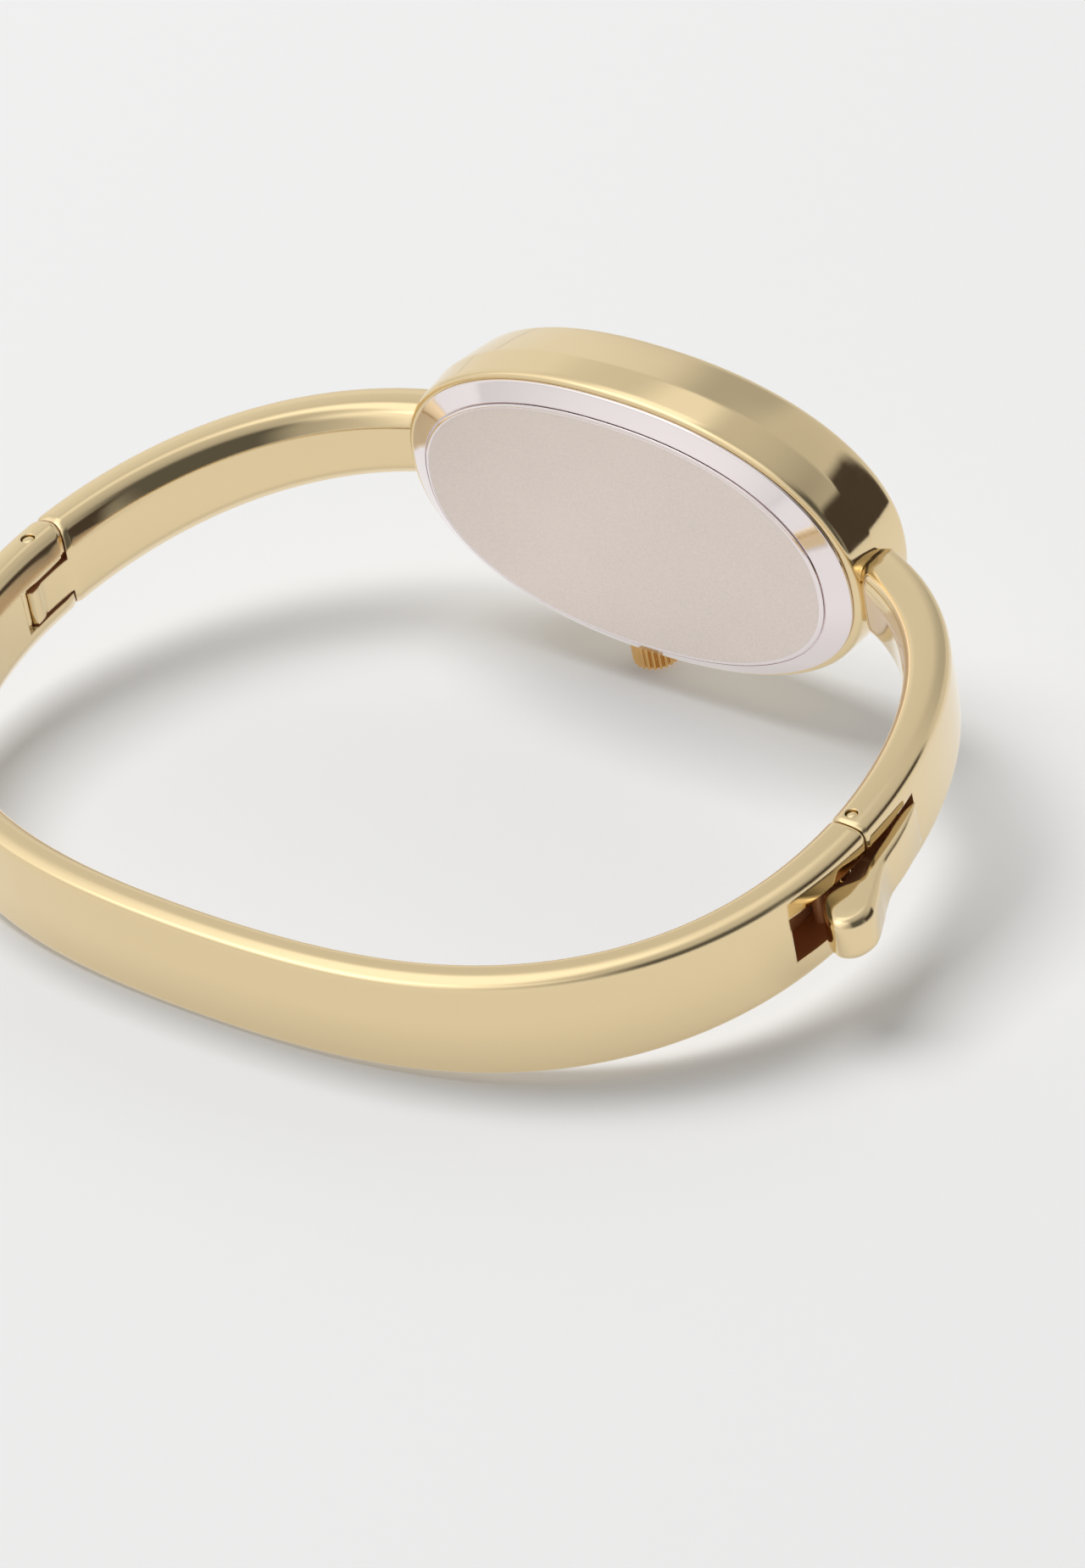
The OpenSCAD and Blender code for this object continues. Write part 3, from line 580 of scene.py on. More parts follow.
def metal(name, rgba, gloss, wear, grain_mm, wave_mm, wave, edge_mm=0.06):
    """A plated or bare metal. gloss is its roughness and wear adds to it in fine scratches.
    grain_mm is the scratch spacing; wave_mm and wave are the polish's slow ripples."""
    material, tree, shader, slow = two_tone(name, wave_mm, 1.0, shade(rgba, 0.985), shade(rgba, 1.0))
    if tree is None:
        return material
    spot = add_node(tree, "ShaderNodeTexCoord").outputs["Object"]
    fine = add_node(tree, "ShaderNodeTexNoise", {
        "Vector": spot, "Scale": 1 / (grain_mm * MM), "Detail": 2.0})
    edge = add_node(tree, "ShaderNodeBevel", {"Radius": edge_mm * MM}, samples=4)
    feed(tree, shader, {
        "Metallic": 1.0,
        "Roughness": add_node(tree, "ShaderNodeMapRange", (fine, 0.35, 0.75, gloss, gloss + wear)),
        "Normal": add_node(tree, "ShaderNodeBump", {
            "Height": slow, "Distance": wave * MM, "Strength": 1.0, "Normal": edge})})
    return material


def gold_plate():
    # Electroplated pale gold on polished brass: a mirror finish with very faint ripples
    # from the polishing wheel, and hairline scratches that only soften the highlights.
    return metal("polished_gold_plate", finish().gold, 0.055, 0.05, 0.35, 7, 0.012, 0.16)


def painted_slot_shade():
    # Painted shade for the milled slots and gaps: a duller, redder and rougher gold that no
    # longer mirrors, standing in for the shade that falls inside them.
    material = metal("gold_with_painted_slot_shade", finish().shade_in_slots, 0.4, 0.2, 0.25, 2, 0.006, 0.03)
    material.node_tree.nodes["Principled BSDF"].inputs["Metallic"].default_value = 0.35
    return material


def gold_plate_deep():
    # The crown, hands and markers are plated over machined metal: deeper in colour and a
    # bit duller. Part of that darker tone is painted shade, for the crown that sits in the
    # shade under the case.
    return metal("deep_gold_with_painted_shade", finish().deep_gold, 0.12, 0.1, 0.2, 2, 0.004, 0.03)


def satin_steel():
    # Stainless steel blasted with fine glass beads: soft, even, slightly grainy.
    material, tree, shader = new_material("bead_blasted_steel")
    if tree is None:
        return material
    rgba = finish().steel
    spot = add_node(tree, "ShaderNodeTexCoord").outputs["Object"]
    # Bead marks are about 0.05 mm; 0.16 mm is the finest that still shows
    grain, cloud = [
        add_node(tree, "ShaderNodeTexNoise", {
            "Vector": spot, "Scale": 1 / (size_mm * MM), "Detail": detail})
        for size_mm, detail in ((0.16, 3.0), (5, 2.0))]
    speck = add_node(tree, "ShaderNodeMath", (cloud, 0.25, grain), operation="MULTIPLY_ADD")
    level = add_node(tree, "ShaderNodeMapRange", (speck, 0.42, 0.83, 0.0, 1.0))
    tone = (level, shade(rgba, 0.94), shade(rgba, 1.03))
    feed(tree, shader, {
        "Metallic": 1.0,
        "Base Color": add_node(tree, "ShaderNodeMix", tone, data_type="RGBA"),
        "Roughness": add_node(tree, "ShaderNodeMapRange", (grain, 0.3, 0.7, 0.34, 0.44)),
        "Normal": add_node(tree, "ShaderNodeBump", {
            "Height": grain, "Distance": 0.007 * MM, "Strength": 0.6})})
    return material


def bright_steel():
    # The same steel, turned and polished: mirror bright with faint turning marks.
    return metal("polished_steel", finish().bright_steel, 0.07, 0.05, 0.25, 4, 0.004)


# Case

class WATCH_OT_case(bpy.types.Operator):
    """Case middle with its back rim, ridge, bezel and the bore for the crown tube"""
    bl_idname = "watch.case"
    bl_label = "Case middle"

    def execute(self, context):
        c, h = case(), heights()
        profile = rounded([
            (-c.edge * 0.66, c.rim, 0.02 * MM),
            (-c.edge * 0.66, c.edge * 0.85, 0.14 * MM),
            (-c.edge * 0.3, c.edge * 0.2, 0.2 * MM),
            (c.edge * 0.5, 0, 0.25 * MM),
            (c.depth * c.ridge_at, -c.ridge, 0.12 * MM),
            (c.depth * 0.7, c.inset * 0.24 + 0.05 * MM, 0.8 * MM),
            (c.depth - c.bevel, c.inset, 0.3 * MM),
            (c.depth, c.inset + c.bevel * 1.05, 0.25 * MM),
            (c.depth, h["crystal"], 0.08 * MM),
            (h["ledge_to"], h["crystal"], 0.02 * MM),
            (h["ledge_to"], h["ledge"], 0.05 * MM),
            (h["dial_to"], h["ledge"], 0.02 * MM),
            (h["dial_to"], h["cavity"], 0.02 * MM),
            (h["seal"], h["cavity"], 0.02 * MM),
            (h["seal"], c.rim, 0.02 * MM),
        ], 5)
        piece = oval_loft("case_shell", [(q.x, q.y) for q in profile], 240, closed=True)
        bore = post(crown().tube + 0.01 * MM, c.b - 5 * MM, c.b + 2 * MM, count=48)
        bore.data.transform(in_case().inverted() @ on_stem())
        cut(piece, bore)
        place(piece, "case", gold_plate(), "case_middle", slot="gold_plate", matrix=in_case())
        return {"FINISHED"}


class WATCH_OT_case_back(bpy.types.Operator):
    """Steel case back: a satin plate inside a polished bevel"""
    bl_idname = "watch.case_back"
    bl_label = "Case back"

    def execute(self, context):
        c = case()
        edge, wide, under = c.back_edge, c.back_bevel, -c.edge * 0.66 - 0.03 * MM
        low, groove = 0.1 * MM - c.proud, 0.2 * MM
        rim = c.rim + 0.03 * MM
        lip = rounded([
            (c.back_t, rim, 0), (under, rim, 0), (under, edge - 0.04 * MM, 0),
            (0.04 * MM - c.back_edge_h, edge - 0.04 * MM, 0.05 * MM),
            (-c.back_edge_h, edge + 0.03 * MM, 0.05 * MM),
            (low + 0.05 * MM, edge + wide * 0.92, 0), (low + groove, edge + wide * 0.94, 0),
            (low + groove, edge + wide * 0.985, 0),
        ], 3)
        raised = rounded([
            (low, edge + wide, 0), (0.02 * MM - c.proud, edge + wide + 0.12 * MM, 0.1 * MM),
            (-c.proud, edge + wide + 0.3 * MM, 0.12 * MM), (-c.proud, edge + wide + 0.6 * MM, 0),
        ], 5)
        # The bevel grows wider towards the two ends: a little at its edge, most further in
        levels, at_edge, further = [], 0.42, 1.03
        for z, inset in lip + raised:
            inside = inset > c.rim and z > -c.back_edge_h
            way = 0 if inside else at_edge + max(0, min(further, (inset - edge) / wide))
            levels.append((z, inset, c.back_ends * way))
        count, shoulder = 240, 8
        piece = oval_loft("case_back_plate", levels, count)
        # The satin starts on the raised plate, past the levels of its polished shoulder
        satin_from = (len(lip) + shoulder) * count
        place(piece, "case", bright_steel(), "case_back", slot="steel_back", matrix=in_case(), crease=40)
        piece.data.materials.append(satin_steel())
        for face in piece.data.polygons:
            if min(face.vertices) >= satin_from:
                face.material_index = 1
        return {"FINISHED"}


class WATCH_OT_crown(bpy.types.Operator):
    """Fluted crown with a rounded end"""
    bl_idname = "watch.crown"
    bl_label = "Crown"

    def execute(self, context):
        k, h = crown(), heights()
        low, high, r = h["crown_from"], h["crown_to"], k.r
        soft, depth = 0.2 * MM, 0.17 * MM
        # The hollow underneath, which takes the crown tube, and then the outside
        hollow, hollow_r, foot = 0.75 * MM, 1.0 * MM, 0.16 * MM
        profile = [(0.02 * MM, low + hollow), (hollow_r - 0.02 * MM, low + hollow),
                   (hollow_r, low + 0.05 * MM), (hollow_r + 0.03 * MM, low)]
        profile += [(r - 0.2 * MM, low), (r - 0.08 * MM, low + 0.04 * MM), (r, low + foot)]
        profile += [(r, low + foot + (high - soft - low - foot) * i / 4) for i in range(1, 5)]
        profile += [(r - soft * 1.3 * (1 - math.cos(a)), high - soft + soft * math.sin(a))
                    for a in [math.pi / 2 * i / 6 for i in range(1, 7)]]
        profile += [(r * 0.55, high), (0.1 * MM, high)]

        def flute(q, radius, z):
            # Rounded ribs with narrow grooves, fading out towards the middle of the end
            fade = max(0, min(1, (radius - r * 0.62) / (r * 0.2)))
            return -depth * fade * (0.5 - 0.5 * math.cos(q * k.flutes)) ** 1.6

        piece = lathe("crown_knob", profile, k.flutes * 12, flute)
        place(piece, "crown", gold_plate_deep(), "crown", slot="deep_gold", matrix=on_stem(), crease=50)
        return {"FINISHED"}


class WATCH_OT_crystal(bpy.types.Operator):
    """Domed mineral crystal"""
    bl_idname = "watch.crystal"
    bl_label = "Crystal"

    def execute(self, context):
        c, h = case(), heights()
        low, top = h["ledge_to"], h["ledge_to"] + c.glass_t
        out, edge, steps = h["glass"], 0.16 * MM, 12
        levels = [(low, out), (top - edge, out), (top - 0.12 * MM, out + 0.02 * MM), (top, out + edge)]
        reach = c.b - out - 0.3 * MM
        for i in range(1, steps + 1):
            k = i / steps
            levels.append((top + c.dome * math.sin(k * math.pi / 2), out + edge + k * (reach - edge)))
        piece = oval_loft("crystal_dome", levels, 160)
        place(piece, "case", mineral_glass(), "crystal", slot="crystal_glass", matrix=in_case(),
              crease=25)
        return {"FINISHED"}


def mineral_glass():
    # Mineral glass: clear and bright, with hardly any tint. Light that goes on to the dial
    # passes straight through it.
    material, tree, shader = new_material("mineral_glass")
    if tree is None:
        return material
    tone = linear("#FBFDFC")
    feed(tree, shader, {"Base Color": tone, "Roughness": 0.0, "IOR": 1.52, "Transmission Weight": 1.0})
    path = add_node(tree, "ShaderNodeLightPath").outputs
    onward = add_node(tree, "ShaderNodeMath", (path["Is Shadow Ray"], path["Is Diffuse Ray"]),
                      operation="MAXIMUM")
    clear = add_node(tree, "ShaderNodeBsdfTransparent", {"Color": tone})
    surface = add_node(tree, "ShaderNodeMixShader", (onward, shader, clear))
    feed(tree, tree.nodes["Material Output"], {"Surface": surface})
    return material


# Dial

def dial_enamel():
    # Lacquered brass dial: warm white under clear lacquer, with fine rays brushed from
    # the middle that show as a slow change of shine.
    material, tree, shader = new_material("lacquered_dial")
    if tree is None:
        return material
    rgba = finish().enamel
    spot = add_node(tree, "ShaderNodeUVMap", uv_map="dial")
    turn = add_node(tree, "ShaderNodeSeparateXYZ", (spot,)).outputs
    around = add_node(tree, "ShaderNodeMath", (turn["Y"], turn["X"]), operation="ARCTAN2")
    # The brushed rays are 0.12 mm apart at 5.04 mm from the middle
    line, reach = 0.12 * MM, 5.04 * MM
    rays = add_node(tree, "ShaderNodeTexNoise", {"W": around, "Scale": reach / line, "Detail": 2.0},
                    noise_dimensions="1D")
    tone = (rays, shade(rgba, 0.93), shade(rgba, 1.0))
    feed(tree, shader, {
        "Base Color": add_node(tree, "ShaderNodeMix", tone, data_type="RGBA"),
        "Roughness": add_node(tree, "ShaderNodeMapRange", (rays, 0.3, 0.7, 0.28, 0.42)),
        "Metallic": 0.25, "Coat Weight": 0.5, "Coat Roughness": 0.05})
    return material


def dial_print():
    # Pad-printed grey ink: matt and slightly uneven, in blots of 0.4 mm.
    tones = linear("#4A443B"), linear("#5E574B")
    material, tree, shader, _ = two_tone("pad_printed_ink", 0.4, 2.0, *tones)
    if tree:
        feed(tree, shader, {"Roughness": 0.7})
    return material


def from_twelve(degrees):
    """Turn from the dial's X axis to a place round the dial, in degrees past twelve."""
    return math.radians(180 - degrees)


def dial_reach(q, inset):
    """How far the oval reaches from the dial's middle at an angle."""
    c = case()
    a, b = c.a - inset, c.b - inset
    return 1 / ((abs(math.cos(q)) / a) ** c.power + (abs(math.sin(q)) / b) ** c.power) ** (1 / c.power)


class WATCH_OT_dial(bpy.types.Operator):
    """Dial plate with its printed minute track and applied hour markers"""
    bl_idname = "watch.dial"
    bl_label = "Dial"

    def execute(self, context):
        c, h = case(), heights()
        inset = h["cavity"] + 0.05 * MM
        piece = oval_loft("dial_plate", [(h["dial_from"], inset), (h["dial_to"] - 0.03 * MM, inset),
                                         (h["dial_to"], inset + 0.03 * MM)], 160)
        cut(piece, post(0.9 * MM, 0, 9 * MM, count=64))
        sheet = piece.data.uv_layers.new(name="dial")
        for loop in piece.data.loops:
            v = piece.data.vertices[loop.vertex_index].co
            sheet.data[loop.index].uv = (v.x / c.a, v.y / c.a)
        place(piece, "case", dial_enamel(), "dial", slot="dial_enamel", matrix=in_case())

        verts, faces = [], []
        ink = 0.01 * MM
        for i in range(60):
            q = math.radians(6 * i)
            far = dial_reach(q, h["ledge"] + 0.2 * MM)
            long = 0.2 * MM if i % 5 else 0.3 * MM
            wide = 0.03 * MM if i % 5 else 0.06 * MM
            along, across = Vector((math.cos(q), math.sin(q))), Vector((-math.sin(q), math.cos(q)))
            base = len(verts)
            for z in (h["dial_to"], h["dial_to"] + ink):
                for u, v in ((far - long, -wide), (far, -wide), (far, wide), (far - long, wide)):
                    verts.append((*(along * u + across * v), z))
            faces += [tuple(base + k for k in face) for face in capped(2, 4)]
        track = new_piece("minute_track", verts, faces)
        place(track, "case", dial_print(), slot="dial_enamel", matrix=in_case())

        bars = []
        for hour in range(12):
            q = from_twelve(30 * hour)
            wide = (0.42 if hour % 3 == 0 else 0.26) * MM / 2
            far = dial_reach(q, h["ledge"] + 0.5 * MM)
            near = far - c.marker
            low, high = h["dial_to"], h["dial_to"] + 0.14 * MM
            verts = []
            for z, i in ((low, 0), (high - 0.08 * MM, 0), (high - 0.06 * MM, 0.018 * MM)):
                verts += [(near + i, -wide + i, z), (far - i, -wide + i, z),
                          (far - i, wide - i, z), (near + i, wide - i, z)]
            n = len(verts)
            # The top is a roof with a ridge along the bar
            verts += [(near + wide, 0, high), (far - wide, 0, high)]
            faces = capped(3, 4)[:-1] + [(n - 4, n - 3, n + 1, n), (n - 3, n - 2, n + 1),
                                         (n - 2, n - 1, n, n + 1), (n - 1, n - 4, n)]
            bars.append(new_piece("bar", verts, faces, Matrix.Rotation(q, 4, "Z")))
        markers = join("applied_markers", bars)
        place(markers, "case", gold_plate_deep(), "hour_markers", slot="deep_gold", matrix=in_case(),
              crease=12)
        return {"FINISHED"}


def hand_blade(reach, width, hub, bore, low, high):
    """A tapered hand with a ridge down its middle, and its ring-shaped hub."""
    tail = 1.3 * MM
    side = [(-tail, width * 0.3), (0.05 * MM - tail, width * 0.35), (0, width / 2),
            (reach * 0.55, width * 0.42), (reach * 0.97, 0.05 * MM), (reach, 0.01 * MM)]
    verts = []
    for x, w in side:
        verts += [(x, -w, low), (x, -w, low + (high - low) * 0.4), (x, 0, high - 0.01 * MM),
                  (x, w, low + (high - low) * 0.4), (x, w, low)]
    blade = new_piece("blade", verts, capped(len(side), 5))
    cut(blade, post(bore, 0, 9 * MM, count=64))
    lip = 0.04 * MM
    profile = [(bore, low), (hub, low), (hub, high - lip), (hub - lip, high),
               (bore + lip, high), (bore, high - lip)]
    return join("hand", [blade, lathe("hub", profile, 64, closed=True)])


class WATCH_OT_hands(bpy.types.Operator):
    """Hour and minute hands"""
    bl_idname = "watch.hands"
    bl_label = "Hands"

    def execute(self, context):
        c, h = case(), heights()
        # The hands stand at eight past ten, as the solids do. Each row: name and length, then
        # in mm the width, the radii of hub and bore and the height over the dial, and the
        # degrees past twelve
        thick = 0.14 * MM
        for name, reach, width, hub, bore, up, degrees in (
                ("hour", c.hour_l, 0.62, 1, 0.75, 0.3, 304),
                ("minute", c.minute_l, 0.5, 0.72, 0.45, 0.62, 48)):
            low = h["dial_to"] + up * MM
            hand = hand_blade(reach, width * MM, hub * MM, bore * MM, low, low + thick)
            hand.name = name + "_blade"
            node = name + "_hand"
            place(hand, node, gold_plate_deep(), node, slot="deep_gold",
                  matrix=in_case() @ Matrix.Rotation(from_twelve(degrees), 4, "Z"), crease=12)
        return {"FINISHED"}


# Bangle

# Degrees from the case's middle round the ring to where the arms end inside it
ARM_START = 30


def case_block():
    """The oval that the arms run into, a little inside the case's side."""
    inside = 0.45 * MM
    tool = oval_loft("cutter", [(-4 * MM, inside), (9 * MM, inside)], 120)
    tool.data.transform(at_rest().inverted() @ in_case())
    return tool


def slot_block(start, end):
    """Cuts the lever's slot between two distances from the latch pin."""
    j, at = joint(), clasp_at()
    inside = band_t(j.clasp_angle) / 2 + j.clasp_out
    return block((at.x - inside + j.floor, at.y + start, -j.slot_w / 2),
                 (at.x + 9 * MM, at.y + end, j.slot_w / 2))


# Faces of the lever's slot get the painted shade of the slots and gaps
def slot_face(end):
    """Tells whether a face belongs to the lever's slot, whose end is that far from the pin."""
    j, at = joint(), clasp_at()
    floor = at.x - band_t(j.clasp_angle) / 2 - j.clasp_out + j.floor
    near = 0.002 * MM

    def test(face):
        c, n = face.center, face.normal
        wall = abs(n.z) > 0.9 and abs(abs(c.z) - j.slot_w / 2) < near and c.x > floor - near
        return (wall or abs(n.x) > 0.9 and abs(c.x - floor) < near
                or abs(n.y) > 0.9 and abs(c.y - at.y - end) < near)

    return test


def slim_at_case(q, z):
    """How far the arms are drawn in beside the case, as a small chamfer."""
    c = case()
    y = c.rise - z
    reach = (abs(q.x / c.a) ** c.power + abs(y / c.b) ** c.power) ** (1 / c.power)
    off = max(0, (reach - 1) * math.hypot(q.x, y))
    deep, wide = 0.28 * MM, 0.8 * MM
    return deep * max(0, 1 - off / wide) ** 1.3


def hinge_slot(shorter=0):
    """The slot for the hinge's tongue: its lowest and highest Z, and its end's radius."""
    j = joint()
    room = j.tongue_w / 2 + j.gap - shorter
    end_r = j.tongue + j.gap - shorter - j.slot_lip * 0.8
    return j.tongue_up - room, j.tongue_up + room - j.slot_lip, end_r


# Faces in the hinge's gap get the painted shade of the slots and gaps
def hinge_gap(flats, *turned):
    """Tells whether a face lies in the hinge's gap, flat at a height or turned to a radius."""
    at, near = hinge_at(), 0.03 * MM

    def test(face):
        c, n = face.center, face.normal
        off = c.xy - at
        if c.x > 0 or off.length > 6 * MM:
            return False
        if abs(n.z) > 0.9:
            return min(abs(c.z - z) for z in flats) < near
        return abs(off.normalized().dot(n.xy)) > 0.95 and min(abs(off.length - r) for r in turned) < near

    return test


class WATCH_OT_left_arm(bpy.types.Operator):
    """Left arm, from the case to the hinge's tongue"""
    bl_idname = "watch.left_arm"
    bl_label = "Left arm"

    def execute(self, context):
        j, at = joint(), hinge_at()
        rim = j.knuckle + j.gap
        turn = math.degrees(1 / ring().half_w)

        def slim(q, z):
            return slim_at_case(q, z) + soft_end((q - at).length - rim, 0.45 * MM, 0.14 * MM)

        hinge = math.degrees(j.hinge_angle)
        piece = sweep("hinge_arm", hinge - (j.tongue + 0.5 * MM) * turn, 360 - ARM_START, slim, 0.4,
                      [hinge + (rim + 0.1 * MM) * turn])
        far = 10 * MM
        low, high, end_r = hinge_slot(j.gap + 0.06 * MM)
        tools = [case_block()]
        for z in ((-far, low), (high, far)):
            tools += [post(rim, *z, at), beam(at.x, far / 2, (at.y - far, at.y), z)]
        end = beam(at.x, far / 2, (at.y - far, at.y))
        cut(end, post(end_r, -far, far, at))
        cut(piece, *tools, end, post(j.hinge_pin, -far, far, at, 48))
        # Its faces in the hinge's gap get the painted shade of the slots and gaps
        place(piece, "case", gold_plate(), "left_arm", slot="gold_plate", matrix=at_rest(),
              inner=hinge_gap((low, high), rim), inner_material=painted_slot_shade())
        return {"FINISHED"}


class WATCH_OT_right_arm(bpy.types.Operator):
    """Right arm, from the case to the clasp, with its slot"""
    bl_idname = "watch.right_arm"
    bl_label = "Right arm"

    def execute(self, context):
        j, at = joint(), clasp_at()
        wide = 16 * MM
        end = at.y - j.arm_end

        def slim(q, z):
            return slim_at_case(q, z) + soft_end(q.y - end, 0.35 * MM, 0.1 * MM)

        clasp, past = math.degrees(j.clasp_angle), 5
        seam = clasp + math.degrees(j.arm_end / ring().half_w)
        piece = sweep("clasp_arm", ARM_START, clasp + past, slim, 0.4, [seam])
        cut(piece, case_block(),
            beam(at.x, wide / 2, (end - wide, end)),
            slot_block(-5 * MM, j.slot_up),
            post(j.latch_pin, -wide, wide, at, 48))
        # Its faces in the lever's slot get the painted shade of the slots and gaps
        place(piece, "case", gold_plate(), "right_arm", slot="gold_plate", matrix=at_rest(),
              inner=slot_face(j.slot_up), inner_material=painted_slot_shade())
        return {"FINISHED"}


class WATCH_OT_front_band(bpy.types.Operator):
    """Front band, with the hinge's cheeks and the slot at the clasp"""
    bl_idname = "watch.front_band"
    bl_label = "Front band"

    def execute(self, context):
        j, c, h = joint(), clasp_at(), hinge_at()
        wide = 16 * MM
        end = c.y - j.arm_end - j.seam

        def slim(q, z):
            if q.x > 0:
                return soft_end(end - q.y, 0.3 * MM, 0.12 * MM)
            return soft_end(j.knuckle - (q - h).length, 0.3 * MM, 0.1 * MM) if q.y > h.y else 0

        turn = math.degrees(1 / ring().half_w)
        clasp, hinge = math.degrees(j.clasp_angle), math.degrees(j.hinge_angle)
        past_clasp, past_hinge = 5, 8
        piece = sweep("front_bow", clasp - past_clasp, hinge + past_hinge, slim, 1.0,
                      [clasp + (j.arm_end + j.seam) * turn, hinge + (j.knuckle - 0.2 * MM) * turn])
        past = beam(h.x, wide / 2, (h.y, h.y + wide))
        cut(past, post(j.knuckle, -wide, wide, h))
        low, high, end_r = hinge_slot()
        # The slot's lip: a shallow step along its upper edge and its end
        face, shallow = h.x + band_t(j.hinge_angle) / 2 + j.hinge_out, 0.28 * MM
        step = block((face - shallow, h.y - j.tongue, low + 0.05 * MM),
                     (face + MM, h.y + 8 * MM, high + j.slot_lip))
        cut(piece,
            beam(c.x, wide / 2, (end, end + wide)),
            slot_block(-j.slot_down, 0),
            past,
            post(end_r, low, high, h),
            beam(h.x, 5 * MM, (h.y, h.y + 8 * MM), (low, high)),
            step,
            post(j.hinge_pin + 0.05 * MM, -wide, wide, h, 48))
        # The faces in the slot and in the hinge's gap get the painted shade of the slots and gaps
        in_slot = slot_face(-j.slot_down)
        in_gap = hinge_gap((low, high, high + j.slot_lip), end_r, j.knuckle)
        place(piece, "front_band", gold_plate(), "front_band", slot="gold_plate", matrix=at_rest(),
              inner=lambda f: in_slot(f) or in_gap(f), inner_material=painted_slot_shade())
        return {"FINISHED"}


def pin(name, r, at, half, dome):
    """A round pin with softly domed ends."""
    turns = [math.pi / 2 * i / 5 for i in range(6)]
    top = [(r * math.cos(a), half - dome + dome * math.sin(a)) for a in turns]
    top[-1] = (r * 0.02, half)
    profile = [(q, -z) for q, z in reversed(top)] + top
    return lathe(name, profile, 48, matrix=Matrix.Translation((*at, 0)))


class WATCH_OT_pins(bpy.types.Operator):
    """Hinge pin, latch pin and the catch bar in the band's slot"""
    bl_idname = "watch.pins"
    bl_label = "Pins"

    def execute(self, context):
        j = joint()
        for name, r, at, p in (("hinge", j.hinge_pin, hinge_at(), j.hinge_angle),
                               ("latch", j.latch_pin - 0.05 * MM, clasp_at(), j.clasp_angle)):
            # The pin ends just inside the band's edges
            rivet = pin(name + "_rivet", r, at, band_w(p) * 0.485, 0.1 * MM)
            place(rivet, "case", gold_plate(), name + "_pin", slot="deep_gold", matrix=at_rest())
        spot = clasp_at() + Vector((-0.05 * MM, -j.catch_y))
        bar = pin("catch_rod", j.catch, spot, (j.slot_w + 1.6 * MM) / 2, 0.02 * MM)
        # The catch bar deep in the slot is finished in the painted shade of the slots and gaps
        place(bar, "front_band", painted_slot_shade(), "catch_bar", slot="deep_gold", matrix=at_rest())
        return {"FINISHED"}


def bend(a, b, c, d, t):
    """A point on a smooth curve through b and c."""
    return (2 * b + (c - a) * t + (2 * a - 5 * b + 4 * c - d) * t ** 2
            + (3 * b - a - 3 * c + d) * t ** 3) / 2


class WATCH_OT_latch(bpy.types.Operator):
    """Latch lever with its hook and rounded thumb tab"""
    bl_idname = "watch.latch"
    bl_label = "Latch lever"

    def execute(self, context):
        j, at = joint(), clasp_at()
        u, tab, half = j.catch_y / (4.2 * MM), j.tab / MM, j.lever_w / 2
        tip = (3.15 * u, -5.5 * u)
        # Points of the lever's side view from the latch pin, in mm: out, along, edge radius
        back = [(1.45, 4.05, 0.05), (2.05, 2.5, 0.15), (2.45, 0.9, 0.25), (2.75, -0.8, 0.3),
                (3.25, -2.1, 0.35), (4, -3.6, 0.5)]
        thumb = [(tip[0] / u + tab / u * x, tip[1] / u + tab / u * y, 0.65)
                 for x, y in ((1, 0.2), (0.75, -0.7), (0.05, -1.07))]
        thumb += [(2.1, -6.5, 0.55), (1.3, -5.3, 0.3)]
        barrel = [(0.6, -4.35, 0.15), (1, -3.05, 0.15), (0.6, -1.2, 0.15),
                  (-0.5, -0.6, 0.15), (-0.6, 0.6, 0.15), (0.5, 2, 0.15)]
        core = [(1.4, 3.2, 0.1), (1.75, 2.4, 0.1), (2.1, 0.9, 0.1), (2.4, -0.8, 0.1), (2.85, -2.1, 0.1),
                (3.2, -3.6, 0.1), (2.3, -5.2, 0.1), (1.4, -5.1, 0.1)]
        skin = [(1.55, -4.3, 0.15), (2.35, -3, 0.1), (2.15, -1.9, 0.1), (1.85, -0.6, 0.1),
                (1.6, 0.9, 0.1), (1.25, 2.5, 0.1)]

        def outline(knots):
            knots = [Vector((x * u, y * u, r)) * MM for x, y, r in knots]
            n, steps = len(knots), 8
            path = [bend(knots[i - 1], knots[i], knots[(i + 1) % n], knots[(i + 2) % n], k / steps)
                    for i in range(n) for k in range(steps)]
            path.reverse()
            return [q.xy for q in path], [q.z for q in path]

        path, radii = outline(back + thumb + skin)
        piece = plate("latch_plate", path, -half, half, radii)
        path, radii = outline(core + barrel)
        low_top = half - 0.7 * MM
        cut(piece, plate("cutter", path, 0.15 * MM - half, low_top, radii), operation="UNION")
        cut(piece, post(j.latch_pin + 0.03 * MM, -5 * MM, 5 * MM, count=48))
        # The top of the lever's lower core, a step below its outer plate, gets the painted shade of the
        # slots and gaps
        place(piece, "latch", gold_plate(), "latch_lever", slot="gold_plate",
              matrix=at_rest() @ Matrix.Translation((at.x, at.y, 0)),
              inner=lambda f: f.normal.z > 0.9 and abs(f.center.z - low_top) < 0.02 * MM,
              inner_material=painted_slot_shade())
        return {"FINISHED"}


# Hidden works

def moulded_plastic(name, code, rough):
    # Moulded or cured polymer: matt, slightly waxy, with a faint flow pattern of 0.8 mm.
    rgba = linear(code)
    material, tree, shader, flow = two_tone(name, 0.8, 2.0, shade(rgba, 0.9), rgba)
    if tree:
        gloss = add_node(tree, "ShaderNodeMapRange", (flow, 0.3, 0.7, rough, rough + 0.12))
        feed(tree, shader, {"Roughness": gloss})
    return material


